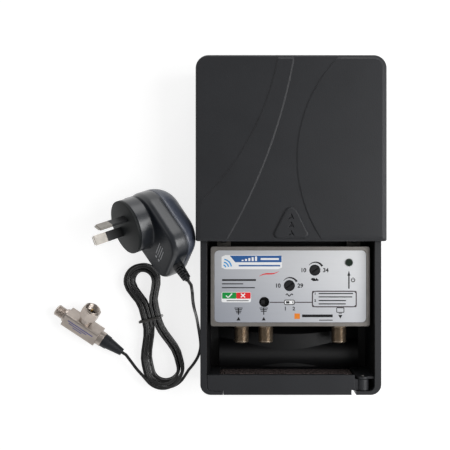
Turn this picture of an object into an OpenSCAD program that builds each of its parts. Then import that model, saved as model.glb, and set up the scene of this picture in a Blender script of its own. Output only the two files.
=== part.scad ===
// TV signal amplifier in an outdoor housing, with its plug pack, power lead and power injector.
// The housing lies on its back on a table: X runs across it, Y up its length, Z towards the viewer.
// Sizes are in millimetres, and the origin is the middle of the flat back face.

/* [Base housing] */
// width across the two side rails
base_w = 112; // [90:0.5:140]
// length of the base
base_h = 111; // [95:0.5:140]
// depth from the back face to the rim
base_d = 38; // [34:0.5:50]
// wall thickness of the mouldings
wall = 2.2; // [1.6:0.1:2.8]
// overhang of each side rail past the side wall
rail_out = 1.8; // [1.2:0.1:2.4]
// thickness of the side rails
rail_t = 4; // [3:0.5:5]
// radius of the base's corners
base_corner_r = 6.5; // [5:0.5:9]

/* [Cover] */
// wall thickness of the cover
cover_wall = 2.2; // [1.6:0.1:2.8]
// clearance between the cover and the rails
slide_gap = 0.3; // [0.2:0.05:0.5]
// room between the base's rim and the cover's front wall
cover_room = 3.4; // [2:0.2:6]
// height of the raised front panels
panel_rise = 0.7; // [0.4:0.1:1.2]
// radius of the cover's top corners
cover_corner_r = 8; // [6:0.5:12]
// how far the cover is drawn up in the drawn state
cover_drawn = 95.5; // [70:0.5:98]

/* [Cable gate] */
// height of the gate's front panel
gate_h = 12.2; // [10:0.2:16]
// distance of the hinge axis from the right inner wall
hinge_inset = 7.1; // [6:0.1:9]
// outer radius of the hinge knuckle
knuckle_r = 3.9; // [3:0.1:4.2]
// radius of the hinge pin
hinge_pin_r = 1.25; // [1:0.05:1.6]

/* [Amplifier] */
// width of the metal case
amp_w = 100; // [80:0.5:102]
// height of the metal case
amp_h = 50; // [44:0.5:54]
// height of the case's front above the back face
amp_front = 32.2; // [31:0.2:34]
// radius of the threaded part of an F port
port_r = 4.76; // [4.7:0.01:4.85]
// length of an F port outside the case
port_len = 11.8; // [9:0.2:13]
// radius of a gain trimmer's turning part
knob_r = 3.1; // [2.4:0.1:3.6]

/* [Plug pack] */
// radius of the turret and the plug face
turret_r = 17.25; // [16.5:0.25:19]
// height of the turret
turret_h = 11; // [9:0.5:16]
// depth of the front shell
front_shell_h = 10.5; // [9.5:0.5:14]
// depth of the domed rear shell
rear_shell_h = 15; // [13:0.5:20]
// free length of a mains pin
pin_len = 19.5; // [16:0.5:20]

/* [Power lead] */
// diameter of the cord
cord_d = 2; // [1.8:0.1:2.2]
// radius of the innermost fold of the hank
hank_fold_r = 6.2; // [6:0.1:7]
// length of the hank's straight runs
hank_run = 60; // [56:1:66]

/* [Power injector] */
// length of the injector's body
inj_len = 25.5; // [24:0.5:34]
// width across the flats of the hex nut
nut_flats = 11; // [10.8:0.1:12]
// radius of the output barrel
barrel_r = 3.8; // [3.2:0.1:4.5]

/* [Hidden] */
$fn = 48;
// smallest play left between pieces that move past each other
play = 0.3;
// overlap that joins two lumps of one piece
bite = 0.2;
// least room beside the amplifier, length of the connector bay, and the amplifier's tab with the room past it
amp_room = 2;
bay_len = 41.7;
tab_len = 9.5;
tab_room = 0.6;
// the base follows its own sizes, and grows where a larger amplifier needs it
base_half_w = max(base_w/2, amp_w/2 + amp_room + wall + rail_out);
base_half_h = max(base_h, bay_len + amp_h + tab_len + tab_room + wall)/2;
side_half = base_half_w - rail_out;
cavity_half_w = side_half - wall;
cavity_half_h = base_half_h - wall;
// connector bay: arched back wall and the half-round ridge across it
ridge_y = 19 - base_half_h;
ridge_r = 11;
ridge_z = 1;
ridge_half = cavity_half_w - 6;
arch_half = cavity_half_w - 5;
arch_rise = 8.9;
arch_r = (arch_half*arch_half + arch_rise*arch_rise)/(2*arch_rise);
arch_z = wall + arch_rise - arch_r;
arch_low = 12 - base_half_h;
arch_high = 38.9 - base_half_h;
// cable opening in the bottom wall
opening_left = -42;
opening_z = 16;
foam_top = 10.5 - base_half_h;
foam_back = 8.5;
foam_split = 24;
shelf_top = 11 - base_half_h;
shelf_t = 1.4;
left_rib_w = 6.7;
// gate hinge
hinge_x = cavity_half_w - hinge_inset;
hinge_z = base_d - 4.5;
opening_right = hinge_x - 4.4;
gate_top = gate_h - base_half_h;
gate_left = -cavity_half_w + 0.4;
gate_right = hinge_x - knuckle_r - 1.4;
gate_z = base_d - wall;
// cover, drawn in its closed place and then moved up
cover_half_w = base_half_w + slide_gap + cover_wall;
cover_top = base_half_h + 0.4 + cover_wall;
cover_low = -base_half_h - 0.4;
cover_back = 6;
cover_front = base_d + cover_room + cover_wall;
lip_top = base_d - rail_t - slide_gap;
lip_t = 2.5;
// curved step lines on the cover, as circles about the cover's own middle line
cover_mid_y = (cover_top + cover_low)/2;
sweep_a_r = 163;
sweep_a = [-168.6, 84.4];
sweep_b_r = 339;
sweep_b = [-332, 115];
sweep_c_r = 88.8;
sweep_c = [92.3, -6.5];
pad_y = cover_low + 11.5;
// amplifier
amp_bottom = bay_len - base_half_h;
amp_top = amp_bottom + amp_h;
amp_mid = amp_bottom + amp_h/2;
amp_back = 8;
plate_t = 2;
case_t = 1.6;
border_w = 2.2;
border_h = 0.6;
face_z = amp_front - border_h;
label_t = 0.35;
board_top = 21.8;
board_t = 1.6;
port_z = 21;
port_x = [-0.31*amp_w, -0.154*amp_w, 0.318*amp_w];
port_end = amp_bottom - port_len;
flange_t = 1.6;
uhf_at = [0.154*amp_w, amp_mid + 0.204*amp_h];
vhf_at = [-0.006*amp_w, amp_mid + 0.01*amp_h];
switch_at = [-0.164*amp_w, amp_mid - 0.196*amp_h];
led_at = [0.369*amp_w, amp_mid + 0.3*amp_h];
// tops of the trimmer and switch bodies, and lower ends of what stands in them
trim_top = face_z - case_t - 1.4;
stem_low = trim_top - 3.6;
led_low = board_top + 3.2;
tab_x = 0.43*amp_w;
tab_y = amp_top + 5;
screw_r = 1.45;
wall_hole_x = 22;
wall_hole_y = base_half_h - 8.5;
wall_hole_r = 2.3;
// the loose pieces lie beside the cover's left side
aside = -cover_half_w;
// plug pack: u runs to the cord end, n runs out along the mains pins
pack_tilt = 35;
pack_heading = 22;
pack_rise = 20;
pack_turn = acos(tan(pack_tilt)*tan(pack_rise)) - pack_heading;
pack_n = [-cos(pack_tilt)*cos(pack_heading), -cos(pack_tilt)*sin(pack_heading), sin(pack_tilt)];
pack_u = [cos(pack_rise)*cos(pack_turn), -cos(pack_rise)*sin(pack_turn), sin(pack_rise)];
pack_w = cross(pack_n, pack_u);
pack_at = [aside - 30.7, 42.6, 29.21];
body_r = 21.5;
body_x = -8;
end_r = 12;
end_x = 14;
end_y = 8.5;
body_end = end_x + end_r;
turret_x = body_x - body_r + turret_r + 0.5;
tangent_d = norm([end_x - body_x, end_y]);
tangent_a = atan2(end_y, end_x - body_x) + acos((body_r - end_r)/tangent_d);
blade_at = 6.85;
core_x = -2.5;
relief_z = -5.5;
relief_len = 12;
relief_ribs = 5;
// cord
cord_r = cord_d/2;
// route points of the lead from the plug pack's relief down to the table and along the base
lead_in_route = [for (p = [[-2.2, 8.6, 40.9], [-2.1, 4.2, 39], [-2.1, 0.3, 34.8], [-2.1, -3.8, 28],
    [-2.1, -7.6, 20], [-2.1, -11.6, 12.4], [-2, -16.4, 6], [-1.5, -22, 2.4], [-0.8, -28, 1.3], [-0.8, -33, 1.1],
    [-2.4, -38.5, 1.1], [-5.3, -43.4, 1.1]]) p + [aside, 0, 0]];
// route points of the lead from the hank to the injector's boot
lead_out_route = [[aside - 42.4, -45.6, 8.4], [aside - 46.2, -41, 7.5]];
// hank: loops run clockwise, spiral in and out, and climb along a straight run
hank_at = [aside - 31.7, -16.2];
hank_lean = 14;
hank_half = hank_run/2;
hank_step = cord_d + 0.7;
hank_layer = cord_d + 0.6;
hank_draw = hank_fold_r - 0.65;
hank_wide = 2;
waist_y = 4;
waist_flat = 9;
waist_top = 17;
waist_low = 26;
level_leans = [0, -1, 1, -0.5];
tie_t = 0.8;
tie_w = 2.2;
tie_play = 0.25;
tie_side = 0.65;
hank_lift = tie_t + tie_play;
hank_start = 0.275;
hank_climbs = [2.6, 4.6, 6.6];
hank_stop = 8.458;
hank_rings = 24;
// injector: a runs from the barrel to the boot, m runs out of the hex nut
inj_heading = -33.4;
inj_tilt = 24;
inj_deep = 10;
inj_high = 11;
inj_a = [cos(inj_heading), sin(inj_heading), 0];
inj_m = [-sin(inj_heading)*cos(inj_tilt), cos(inj_heading)*cos(inj_tilt), sin(inj_tilt)];
inj_f = cross(inj_a, inj_m);
inj_round = 1.2;
inj_z = (inj_deep/2 - inj_round)*sin(inj_tilt) + (inj_high/2 - inj_round)*cos(inj_tilt) + inj_round;
ferrule_len = 3.5;
boot_len = 15;
boot_tip = [aside - 52.6, -34.7, inj_z];
inj_at = boot_tip - (boot_len + ferrule_len + inj_len/2)*inj_a;
barrel_len = 8;
collar_r = 4.4;
collar_len = 4;
nut_len = 8;

// flat outlines
module round_rect(w, h, r) {
    square([w - 2*r, h], center = true);
    square([w, h - 2*r], center = true);
    for (sx = [-1, 1], sy = [-1, 1]) translate([sx*(w/2 - r), sy*(h/2 - r)]) circle(r);
}

// block between two corners
module block(low, high) {
    translate(low) cube(high - low);
}

// round bar along Y from y0 up to y1 about (x, z)
module bar_y(x, z, y0, y1, r) {
    translate([x, y1, z]) rotate([90, 0, 0]) cylinder(h = y1 - y0, r = r);
}

// round bar along X from x0 to x1 about (y, z)
module bar_x(y, z, x0, x1, r) {
    translate([x0, y, z]) rotate([0, 90, 0]) cylinder(h = x1 - x0, r = r);
}

// solid of a flat (y, z) profile run along X
module along_x(x0, x1) {
    translate([x0, 0, 0]) rotate([90, 0, 90]) linear_extrude(x1 - x0) children();
}

// base housing
module arch_block() {
    intersection() {
        bar_y(0, arch_z, arch_low, arch_high, arch_r);
        along_x(-arch_half - 2, arch_half + 2)
            polygon([[arch_low - 1, wall - bite], [arch_low - 1, wall + arch_rise + 1],
                [arch_high - 5.4, wall + arch_rise + 0.1], [arch_high - 0.5, wall - bite]]);
    }
}

module base_features() {
    arch_block();
    intersection() {
        bar_x(ridge_y, ridge_z, -ridge_half, ridge_half, ridge_r);
        block([-ridge_half - 1, ridge_y - 20, wall - bite], [ridge_half + 1, ridge_y + 20, 20]);
    }
    for (sx = [-1, 1]) {
        translate([sx*0.4*amp_w, amp_bottom + 8, wall - bite]) cylinder(h = amp_back - wall + bite, r = 3.5);
        translate([sx*tab_x, tab_y, wall - bite]) cylinder(h = amp_back - wall + bite, r = 4);
        translate([sx*wall_hole_x, wall_hole_y, wall - bite]) cylinder(h = 2.3 + bite, r = 5);
    }
    // left rib, an angle that ends the foam
    block([-cavity_half_w - bite, shelf_top - 1.6, wall - bite],
        [-cavity_half_w + left_rib_w, shelf_top, gate_z - play]);
    block([-cavity_half_w + left_rib_w - 1.6, -cavity_half_h - bite, wall - bite],
        [-cavity_half_w + left_rib_w, shelf_top - 1, gate_z - play]);
    // right shelf, whose round front end is the hinge lug
    block([hinge_x, shelf_top - shelf_t, wall - bite], [cavity_half_w + bite, shelf_top, hinge_z + 2.5]);
    block([hinge_x - 4, shelf_top - shelf_t, wall - bite], [hinge_x + 1, shelf_top, hinge_z]);
    bar_y(hinge_x, hinge_z, shelf_top - shelf_t, shelf_top, 4);
}

module base_housing() {
    color("dimgray") difference() {
        union() {
            difference() {
                union() {
                    linear_extrude(base_d) round_rect(2*side_half, 2*base_half_h, base_corner_r - 1.5);
                    translate([0, 0, base_d - rail_t]) linear_extrude(rail_t) round_rect(2*base_half_w, 2*base_half_h, base_corner_r);
                }
                translate([0, 0, wall]) linear_extrude(base_d) round_rect(2*cavity_half_w, 2*cavity_half_h, base_corner_r - 3);
                block([opening_left, -base_half_h - 1, opening_z], [opening_right, -cavity_half_h + 0.5, base_d + 1]);
            }
            base_features();
        }
        // hollow behind the arch and the ridge
        intersection() {
            bar_y(0, arch_z, arch_low + 1, arch_high - 8, arch_r - wall);
            block([-arch_half + 4, arch_low, -1], [arch_half - 4, arch_high, 20]);
        }
        bar_x(ridge_y, ridge_z, -ridge_half + wall, ridge_half - wall, ridge_r - wall);
        bar_y(hinge_x, hinge_z, -base_half_h + 0.8, shelf_top + 1, hinge_pin_r);
        for (sx = [-1, 1]) {
            translate([sx*tab_x, tab_y, wall + 0.4]) cylinder(h = 20, r = screw_r);
            translate([sx*wall_hole_x, wall_hole_y, -1]) cylinder(h = 20, r = wall_hole_r);
        }
    }
}

// cover
module cover_outline(inset) {
    top_r = cover_corner_r - inset;
    low_r = 2.4 - inset;
    half = cover_half_w - inset;
    translate([-half, cover_low + 2.4]) square([2*half, cover_top - cover_low - 2.4 - cover_corner_r]);
    translate([-half + low_r, cover_low + inset]) square([2*half - 2*low_r, 2.4 + 1]);
    translate([-half + top_r, cover_top - cover_corner_r - 1]) square([2*half - 2*top_r, cover_corner_r + 1 - inset]);
    for (sx = [-1, 1]) {
        translate([sx*(half - top_r), cover_top - cover_corner_r]) circle(top_r);
        translate([sx*(half - low_r), cover_low + 2.4]) circle(low_r);
    }
}

module raised_regions() {
    intersection() {
        cover_outline(0.6);
        union() {
            difference() {
                translate(sweep_b + [0, cover_mid_y]) circle(sweep_b_r, $fn = 720);
                translate(sweep_a + [0, cover_mid_y]) circle(sweep_a_r, $fn = 480);
            }
            translate(sweep_c + [0, cover_mid_y]) circle(sweep_c_r, $fn = 240);
        }
    }
}

module grip_pad(grow) {
    hull() {
        translate([0, pad_y + 5]) circle(4 + grow);
        translate([-8, pad_y - 7]) circle(2.2 + grow);
        translate([8, pad_y - 7]) circle(2.2 + grow);
    }
}

module cover() {
    edge = 1.6;
    color("dimgray") translate([0, cover_drawn, 0]) {
        difference() {
            union() {
                difference() {
                    hull() {
                        translate([0, 0, cover_back]) linear_extrude(cover_front - cover_back - edge) cover_outline(0);
                        translate([0, 0, cover_front - edge*0.42]) linear_extrude(0.01) cover_outline(edge*0.3);
                        translate([0, 0, cover_front - 0.02]) linear_extrude(0.02) cover_outline(edge);
                    }
                    block([-cover_half_w + cover_wall, cover_low - 1, cover_back - 1],
                        [cover_half_w - cover_wall, base_half_h - 6, cover_front - cover_wall]);
                    translate([0, base_half_h + 0.4 - 20, cover_back - 1])
                        linear_extrude(cover_front - cover_wall - cover_back + 1)
                            round_rect(2*(cover_half_w - cover_wall), 40, cover_corner_r - cover_wall);
                }
                // raised panels, with a sloped outer edge
                intersection() {
                    hull() {
                        translate([0, 0, cover_front - 0.5]) linear_extrude(0.01) cover_outline(edge*0.75);
                        translate([0, 0, cover_front + panel_rise - 0.01]) linear_extrude(0.01) cover_outline(edge + 0.6);
                    }
                    translate([0, 0, cover_front - 1]) linear_extrude(5) raised_regions();
                }
                // runners that hold the cover to the rails
                for (sx = [-1, 1])
                    translate([sx*(cover_half_w - cover_wall - (rail_out - play)/2 + bite/2), (cover_low + cover_top)/2, lip_top - lip_t/2])
                        cube([rail_out - play + bite, cover_top - cover_low - 2*cover_corner_r, lip_t], center = true);
                hull() {
                    translate([0, 0, cover_front - 1]) linear_extrude(0.01) grip_pad(0.6);
                    translate([0, 0, cover_front + 1.4]) linear_extrude(0.01) grip_pad(0);
                }
            }
            // three arrowheads sunk in the grip pad
            for (i = [0:2])
                translate([0, pad_y + 3.5 - 5*i, cover_front + 1.0]) linear_extrude(1)
                    polygon([[-1.5, -1.3], [0, -0.5], [1.5, -1.3], [0, 1.6]]);
        }
    }
}

// cable gate
module cable_gate() {
    color("dimgray") difference() {
        union() {
            // the part in the wall ends short of the hinge, so that the gate can swing past the wall's end
            block([opening_left + play, -base_half_h, gate_z], [gate_right - 2, gate_top, base_d]);
            block([gate_right - 3, -cavity_half_h + 2, gate_z], [gate_right, gate_top, base_d]);
            translate([gate_left, -cavity_half_h + play, gate_z]) linear_extrude(wall) {
                translate([3, 0]) square([opening_left - gate_left, gate_top + cavity_half_h - play]);
                translate([0, 3]) square([6, gate_top + cavity_half_h - play - 3]);
                translate([3, 3]) circle(3);
            }
            block([gate_right - 3.6, -cavity_half_h + play, hinge_z - 0.5],
                [hinge_x - 2, shelf_top - shelf_t - play, gate_z + bite]);
            bar_y(hinge_x, hinge_z, -cavity_half_h + play, shelf_top - shelf_t - play, knuckle_r);
            // stiffening bead along the top edge
            block([gate_left + 3, gate_top - 1.2, gate_z - 1.2], [gate_right - 6, gate_top, gate_z + bite]);
        }
        bar_y(hinge_x, hinge_z, -base_half_h - 1, shelf_top + 1, hinge_pin_r + 0.05);
    }
}

module gate_hinge_pin() {
    color("silver") bar_y(hinge_x, hinge_z, -base_half_h + 0.8, shelf_top + 0.4, hinge_pin_r);
}

module base_foam() {
    color("saddlebrown") block([-cavity_half_w + left_rib_w, -cavity_half_h, foam_back],
        [opening_right - 0.2, foam_top, foam_split - play/2]);
}

module gate_foam() {
    color("saddlebrown") block([opening_left + 2*play, -base_half_h + 0.8, foam_split + play/2],
        [gate_right - 3.8, foam_top, gate_z]);
}

// amplifier
module amp_case() {
    color("rosybrown") difference() {
        union() {
            difference() {
                translate([0, amp_mid, amp_back + plate_t]) linear_extrude(amp_front - amp_back - plate_t)
                    round_rect(amp_w, amp_h, 1.5);
                translate([0, amp_mid, amp_back + plate_t - 1]) linear_extrude(face_z - case_t - amp_back - plate_t + 1)
                    square([amp_w - 2*case_t, amp_h - 2*case_t], center = true);
                translate([0, amp_mid, face_z]) linear_extrude(5) round_rect(amp_w - 2*border_w, amp_h - 2*border_w, 3);
            }
            // posts that hold the circuit board
            for (sx = [-1, 1], sy = [-1, 1])
                translate([sx*(amp_w/2 - 6), amp_mid + sy*(amp_h/2 - 6), board_top])
                    cylinder(h = face_z - case_t - board_top + bite, r = 2.5);
        }
        for (at = [uhf_at, vhf_at]) translate([at[0], at[1], board_top]) cylinder(h = 20, r = knob_r + 0.4);
        translate([switch_at[0], switch_at[1], board_top]) cylinder(h = 20, r = 3.2);
        translate([led_at[0], led_at[1], board_top]) cylinder(h = 20, r = 2.5);
        for (x = port_x) bar_y(x, port_z, amp_bottom - 1, amp_bottom + case_t + 1, 4);
    }
}

module amp_back_plate() {
    color("rosybrown") difference() {
        union() {
            translate([0, amp_mid, amp_back]) linear_extrude(plate_t) round_rect(amp_w, amp_h, 1.5);
            for (sx = [-1, 1]) translate([sx*tab_x, amp_top + 3.5, amp_back]) linear_extrude(plate_t) round_rect(9, 12, 2);
        }
        for (sx = [-1, 1]) translate([sx*tab_x, tab_y, 0]) cylinder(h = 20, r = screw_r + 0.25);
    }
}

module amp_screws() {
    color("silver") for (sx = [-1, 1]) translate([sx*tab_x, tab_y, 0]) difference() {
        union() {
            translate([0, 0, wall + 0.4]) cylinder(h = amp_back + plate_t - wall - 0.4 + bite, r = screw_r);
            translate([0, 0, amp_back + plate_t]) cylinder(h = 1.4, r = 3);
            translate([0, 0, amp_back + plate_t + 1.4]) cylinder(h = 0.7, r1 = 3, r2 = 2);
        }
        for (a = [0, 90]) rotate(a) translate([-1.6, -0.35, amp_back + plate_t + 1]) cube([3.2, 0.7, 3]);
    }
}

module front_label() {
    color("lightsteelblue") difference() {
        translate([0, amp_mid, face_z]) linear_extrude(label_t)
            round_rect(amp_w - 2*border_w - 0.4, amp_h - 2*border_w - 0.4, 2.8);
        for (at = [uhf_at, vhf_at]) translate([at[0], at[1], 0]) cylinder(h = 50, r = knob_r + 0.4);
        translate([switch_at[0], switch_at[1], 0]) cylinder(h = 50, r = 3.2);
        translate([led_at[0], led_at[1], 0]) cylinder(h = 50, r = 2.5);
    }
}

// an F port: hex flange, round threaded end with a chamfer, open bore
module f_port(x) {
    color("tan") translate([x, amp_bottom, port_z]) rotate([90, 0, 0]) difference() {
        union() {
            translate([0, 0, -case_t]) cylinder(h = case_t + bite, r = 4);
            cylinder(h = flange_t, r = 11.1/2/cos(30), $fn = 6);
            cylinder(h = port_len - 0.8, r = port_r);
            translate([0, 0, port_len - 0.8]) cylinder(h = 0.8, r1 = port_r, r2 = port_r - 0.7);
        }
        translate([0, 0, -case_t - 1]) cylinder(h = port_len + case_t + 2, r = 3.3);
    }
}

module uhf_input_port() { f_port(port_x[0]); }
module vhf_input_port() { f_port(port_x[1]); }
module tv_output_port() { f_port(port_x[2]); }

module port_insulators() {
    color("ivory") for (x = port_x) difference() {
        bar_y(x, port_z, amp_bottom - port_len + 3.2, amp_bottom + case_t, 3.3);
        bar_y(x, port_z, amp_bottom - port_len, amp_bottom + case_t + 1, 0.9);
    }
}

module port_contacts() {
    color("goldenrod") for (x = port_x) difference() {
        bar_y(x, port_z, amp_bottom - port_len + 4.5, amp_bottom + case_t + 0.8, 0.9);
        bar_y(x, port_z, amp_bottom - port_len + 4, amp_bottom - port_len + 9, 0.5);
    }
}

// a gain trimmer: slotted head on a stem that turns in its body
module gain_knob(at) {
    color("black") translate([at[0], at[1], 0]) difference() {
        union() {
            translate([0, 0, stem_low]) cylinder(h = trim_top + 0.4 + bite - stem_low, r = 1.5);
            translate([0, 0, trim_top + 0.4]) cylinder(h = amp_front - 0.9 - trim_top, r = knob_r);
        }
        rotate(35) translate([-2.6, -0.45, amp_front - 1.4]) cube([5.2, 0.9, 2]);
    }
}

module uhf_gain_knob() { gain_knob(uhf_at); }
module vhf_gain_knob() { gain_knob(vhf_at); }

module trimmer_bodies() {
    color("steelblue") for (at = [uhf_at, vhf_at]) translate([at[0], at[1], 0]) difference() {
        translate([-5, -5, board_top]) cube([10, 10, trim_top - board_top]);
        translate([0, 0, stem_low - play]) cylinder(h = 10, r = 1.56);
    }
}

module band_switch_slider() {
    color("white") translate([switch_at[0] - 1, switch_at[1], 0]) block([-1.1, -1.2, trim_top - 1.5], [1.1, 1.2, amp_front - 1.2]);
}

module switch_body() {
    color("black") translate([switch_at[0], switch_at[1], 0]) difference() {
        block([-4.6, -2.9, board_top], [4.6, 2.9, trim_top]);
        block([-2.5, -1.5, trim_top - 1.8], [2.5, 1.5, trim_top + 2]);
    }
}

module power_led() {
    color("darkgreen") translate([led_at[0], led_at[1], 0]) {
        translate([0, 0, led_low]) cylinder(h = face_z - led_low, r = 2.4);
        translate([0, 0, face_z]) intersection() {
            sphere(2.4);
            block([-3, -3, -0.5], [3, 3, 1.2]);
        }
        for (sx = [-1, 1]) translate([sx*1.27, 0, board_top]) cylinder(h = led_low + bite - board_top, r = 0.3);
    }
}

module circuit_board() {
    color("green") translate([0, amp_mid, board_top - board_t]) linear_extrude(board_t)
        square([amp_w - 2*case_t - 2, amp_h - 2*case_t - 1.6], center = true);
}

module filter_coils() {
    color("orange") for (i = [0:5]) translate([(0.07*i - 0.38)*amp_w, amp_mid + 0.32*amp_h - 1.5*(i % 2), board_top + 2]) rotate([90, 0, 0])
        difference() {
            cylinder(h = 5, r = 2);
            translate([0, 0, -1]) cylinder(h = 7, r = 1.4);
        }
}

// plug pack
module pack_place() {
    multmatrix([[pack_u[0], pack_w[0], pack_n[0], pack_at[0]], [pack_u[1], pack_w[1], pack_n[1], pack_at[1]],
        [pack_u[2], pack_w[2], pack_n[2], pack_at[2]], [0, 0, 0, 1]]) children();
}

module pack_outline(inset) {
    big = body_r - inset;
    small = end_r - inset;
    side = [cos(tangent_a), sin(tangent_a)];
    translate([body_x, 0]) circle(big);
    for (sy = [-1, 1]) translate([end_x, sy*end_y]) circle(small);
    polygon([[body_x, 0] + big*side, [end_x, end_y] + small*side, [end_x, end_y] + [small, 0],
        [end_x, -end_y] + [small, 0], [end_x + small*side[0], -end_y - small*side[1]],
        [body_x + big*side[0], -big*side[1]]]);
}

module pack_front_shell() {
    color("slategray") pack_place() {
        difference() {
            union() {
                hull() {
                    translate([0, 0, -front_shell_h]) linear_extrude(front_shell_h - 4) pack_outline(0);
                    translate([0, 0, -1.4]) linear_extrude(0.01) pack_outline(1.2);
                    translate([0, 0, -0.02]) linear_extrude(0.02) pack_outline(3.4);
                }
                translate([turret_x, 0, -3]) cylinder(h = turret_h + 1, r = turret_r);
                // release catch at the round end
                block([body_x - body_r - 1.6, -5, -6], [body_x - body_r + 4, 3, 1.5]);
            }
            translate([0, 0, -front_shell_h - 1]) linear_extrude(front_shell_h - 1) pack_outline(2);
            translate([turret_x, 0, -5]) cylinder(h = turret_h + 10, r = turret_r - 2.5);
        }
        // posts that press on the transformer
        for (sy = [-1, 1]) translate([6.8, sy*5.5, -7]) cylinder(h = 5 + bite, r = 1.9);
    }
}

module plug_face() {
    color("black") pack_place() difference() {
        union() {
            translate([turret_x, 0, turret_h - 2]) cylinder(h = 2, r = turret_r);
            translate([turret_x, 0, turret_h - 5]) cylinder(h = 3 + bite, r = turret_r - 2.5);
        }
        blade_places() translate([0, 0, turret_h - 10]) linear_extrude(20) square([4.9, 0.8], center = true);
    }
}

// the two slanted blade positions on the plug face
module blade_places() {
    for (s = [-1, 1]) translate([turret_x - 2, s*blade_at, 0]) rotate(s*30) children();
}

module mains_pins() {
    color("silver") pack_place() blade_places() {
        translate([0, 0, turret_h - 6]) linear_extrude(pin_len + 5) square([4.9, 0.8], center = true);
        translate([0, 0, turret_h + pin_len*0.54]) linear_extrude(pin_len*0.46 - 1) square([6.3, 1.6], center = true);
        translate([0, 0, turret_h + pin_len - 1]) linear_extrude(1) square([5.3, 1], center = true);
    }
}

module pin_sleeves() {
    color("black") pack_place() blade_places() translate([0, 0, turret_h]) linear_extrude(pin_len*0.54) difference() {
        square([6.3, 1.6], center = true);
        square([4.9, 0.8], center = true);
    }
}

module dome(inset) {
    deep = rear_shell_h - inset;
    hull() {
        translate([0, 0, -front_shell_h - 0.02]) linear_extrude(0.02) pack_outline(inset);
        for (a = [15, 30, 45, 60, 73])
            translate([0, 0, -front_shell_h - deep*sin(a)]) linear_extrude(0.01)
                translate([body_x*(1 - cos(a)), 0]) scale(0.32 + 0.68*cos(a)) pack_outline(inset);
        translate([0, 0, -front_shell_h - deep]) linear_extrude(0.01) scale(0.36) pack_outline(inset);
    }
}

module pack_rear_shell() {
    color("slategray") pack_place() difference() {
        dome(0);
        dome(2);
    }
}

module transformer_core() {
    color("gray") pack_place() difference() {
        block([core_x - 11.5, -8, -20.5], [core_x + 11.5, 8, -7]);
        for (sx = [-1, 1]) block([core_x + sx*6.3 - 2.5, -9, -17], [core_x + sx*6.3 + 2.5, 9, -10.5]);
    }
}

module transformer_winding() {
    color("peru") pack_place() difference() {
        block([core_x - 8.8, -11, -17], [core_x + 8.8, 11, -10.5]);
        block([core_x - 3.8, -8, -18], [core_x + 3.8, 8, -10]);
    }
}

module rectifier_board() {
    color("green") pack_place() {
        block([core_x + 11.5, -8, -10], [22.5, 8, -8.6]);
        translate([18, 3, -8.7]) cylinder(h = 6.5, r = 3);
        translate([18, -5, -8.7]) cylinder(h = 3, r = 2);
    }
}

// strain relief: a round core with ribs that are cut away on alternate sides
module strain_relief() {
    pitch = (relief_len - 4)/relief_ribs;
    color("black") pack_place() translate([body_end, 0, relief_z]) rotate([0, 90, 0]) {
        cylinder(h = 2.6, r = 3.4);
        cylinder(h = relief_len, r = cord_r + 0.6);
        for (i = [0:relief_ribs - 1]) translate([0, 0, 3.2 + i*pitch]) difference() {
            cylinder(h = pitch*0.62, r = 3.2 - 0.12*i);
            rotate(90*(i % 2)) for (sy = [-1, 1]) translate([-0.7, sy*3 - 1.2, -1]) cube([1.4, 2.4, 5]);
        }
    }
}

// cord
function unit(v) = v/norm(v);
function spline(p, parts) = [for (i = [0:len(p) - 2], j = [0:parts - 1])
    let (t = j/parts, a = p[max(i - 1, 0)], b = p[i], c = p[i + 1], d = p[min(i + 2, len(p) - 1)])
    0.5*(2*b + (c - a)*t + (2*a - 5*b + 4*c - d)*t*t + (3*b - a - 3*c + d)*t*t*t), p[len(p) - 1]];
function tangent(p, i) = unit(p[min(i + 1, len(p) - 1)] - p[max(i - 1, 0)]);

// closed tube of radius r about the points p
module tube(p, r, sides) {
    count = len(p);
    rings = [for (i = [0:count - 1])
        let (t = tangent(p, i), across = unit(cross(t, [0, 0, 1])), up = cross(across, t))
        for (k = [0:sides - 1]) p[i] + r*(cos(360*k/sides)*across + sin(360*k/sides)*up)];
    sides_faces = [for (i = [0:count - 2], k = [0:sides - 1])
        let (a = i*sides + k, b = i*sides + (k + 1) % sides)
        each [[a, a + sides, b + sides], [a, b + sides, b]]];
    low_cap = [for (k = [0:sides - 1]) k];
    high_cap = [for (k = [sides - 1:-1:0]) (count - 1)*sides + k];
    polyhedron(rings, concat(sides_faces, [low_cap, high_cap]), convexity = 10);
}

// one loop of the hank, t in turns: down the right run, round the bottom, up the left run, round the top
function hank_radius(t) = hank_fold_r + hank_step*(
    t < hank_climbs[0] ? hank_climbs[0] - t :
    t < hank_climbs[1] ? t - hank_climbs[0] :
    t < hank_climbs[2] ? hank_climbs[1] - hank_climbs[0] - (t - hank_climbs[1]) : t - hank_climbs[2]);
function ease(x) = let (c = min(max(x, 0), 1)) c*c*(3 - 2*c);
function hank_level(t) = ease((t - hank_climbs[0])/0.2 + 0.5) + ease((t - hank_climbs[1])/0.2 + 0.5)
    + ease((t - hank_climbs[2])/0.2 + 0.5);
// how far a straight run is drawn in at the height y, and the extra lean of each layer
function waist(y) = abs(y) >= hank_half ? 0 :
    1 - (y > waist_y ? ease((y - waist_y - waist_flat)/waist_top) : ease((waist_y - y - 2)/waist_low));
function hank_extra(t) = let (k = hank_level(t), i = min(floor(k), 2))
    level_leans[i] + (level_leans[i + 1] - level_leans[i])*(k - i);
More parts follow.
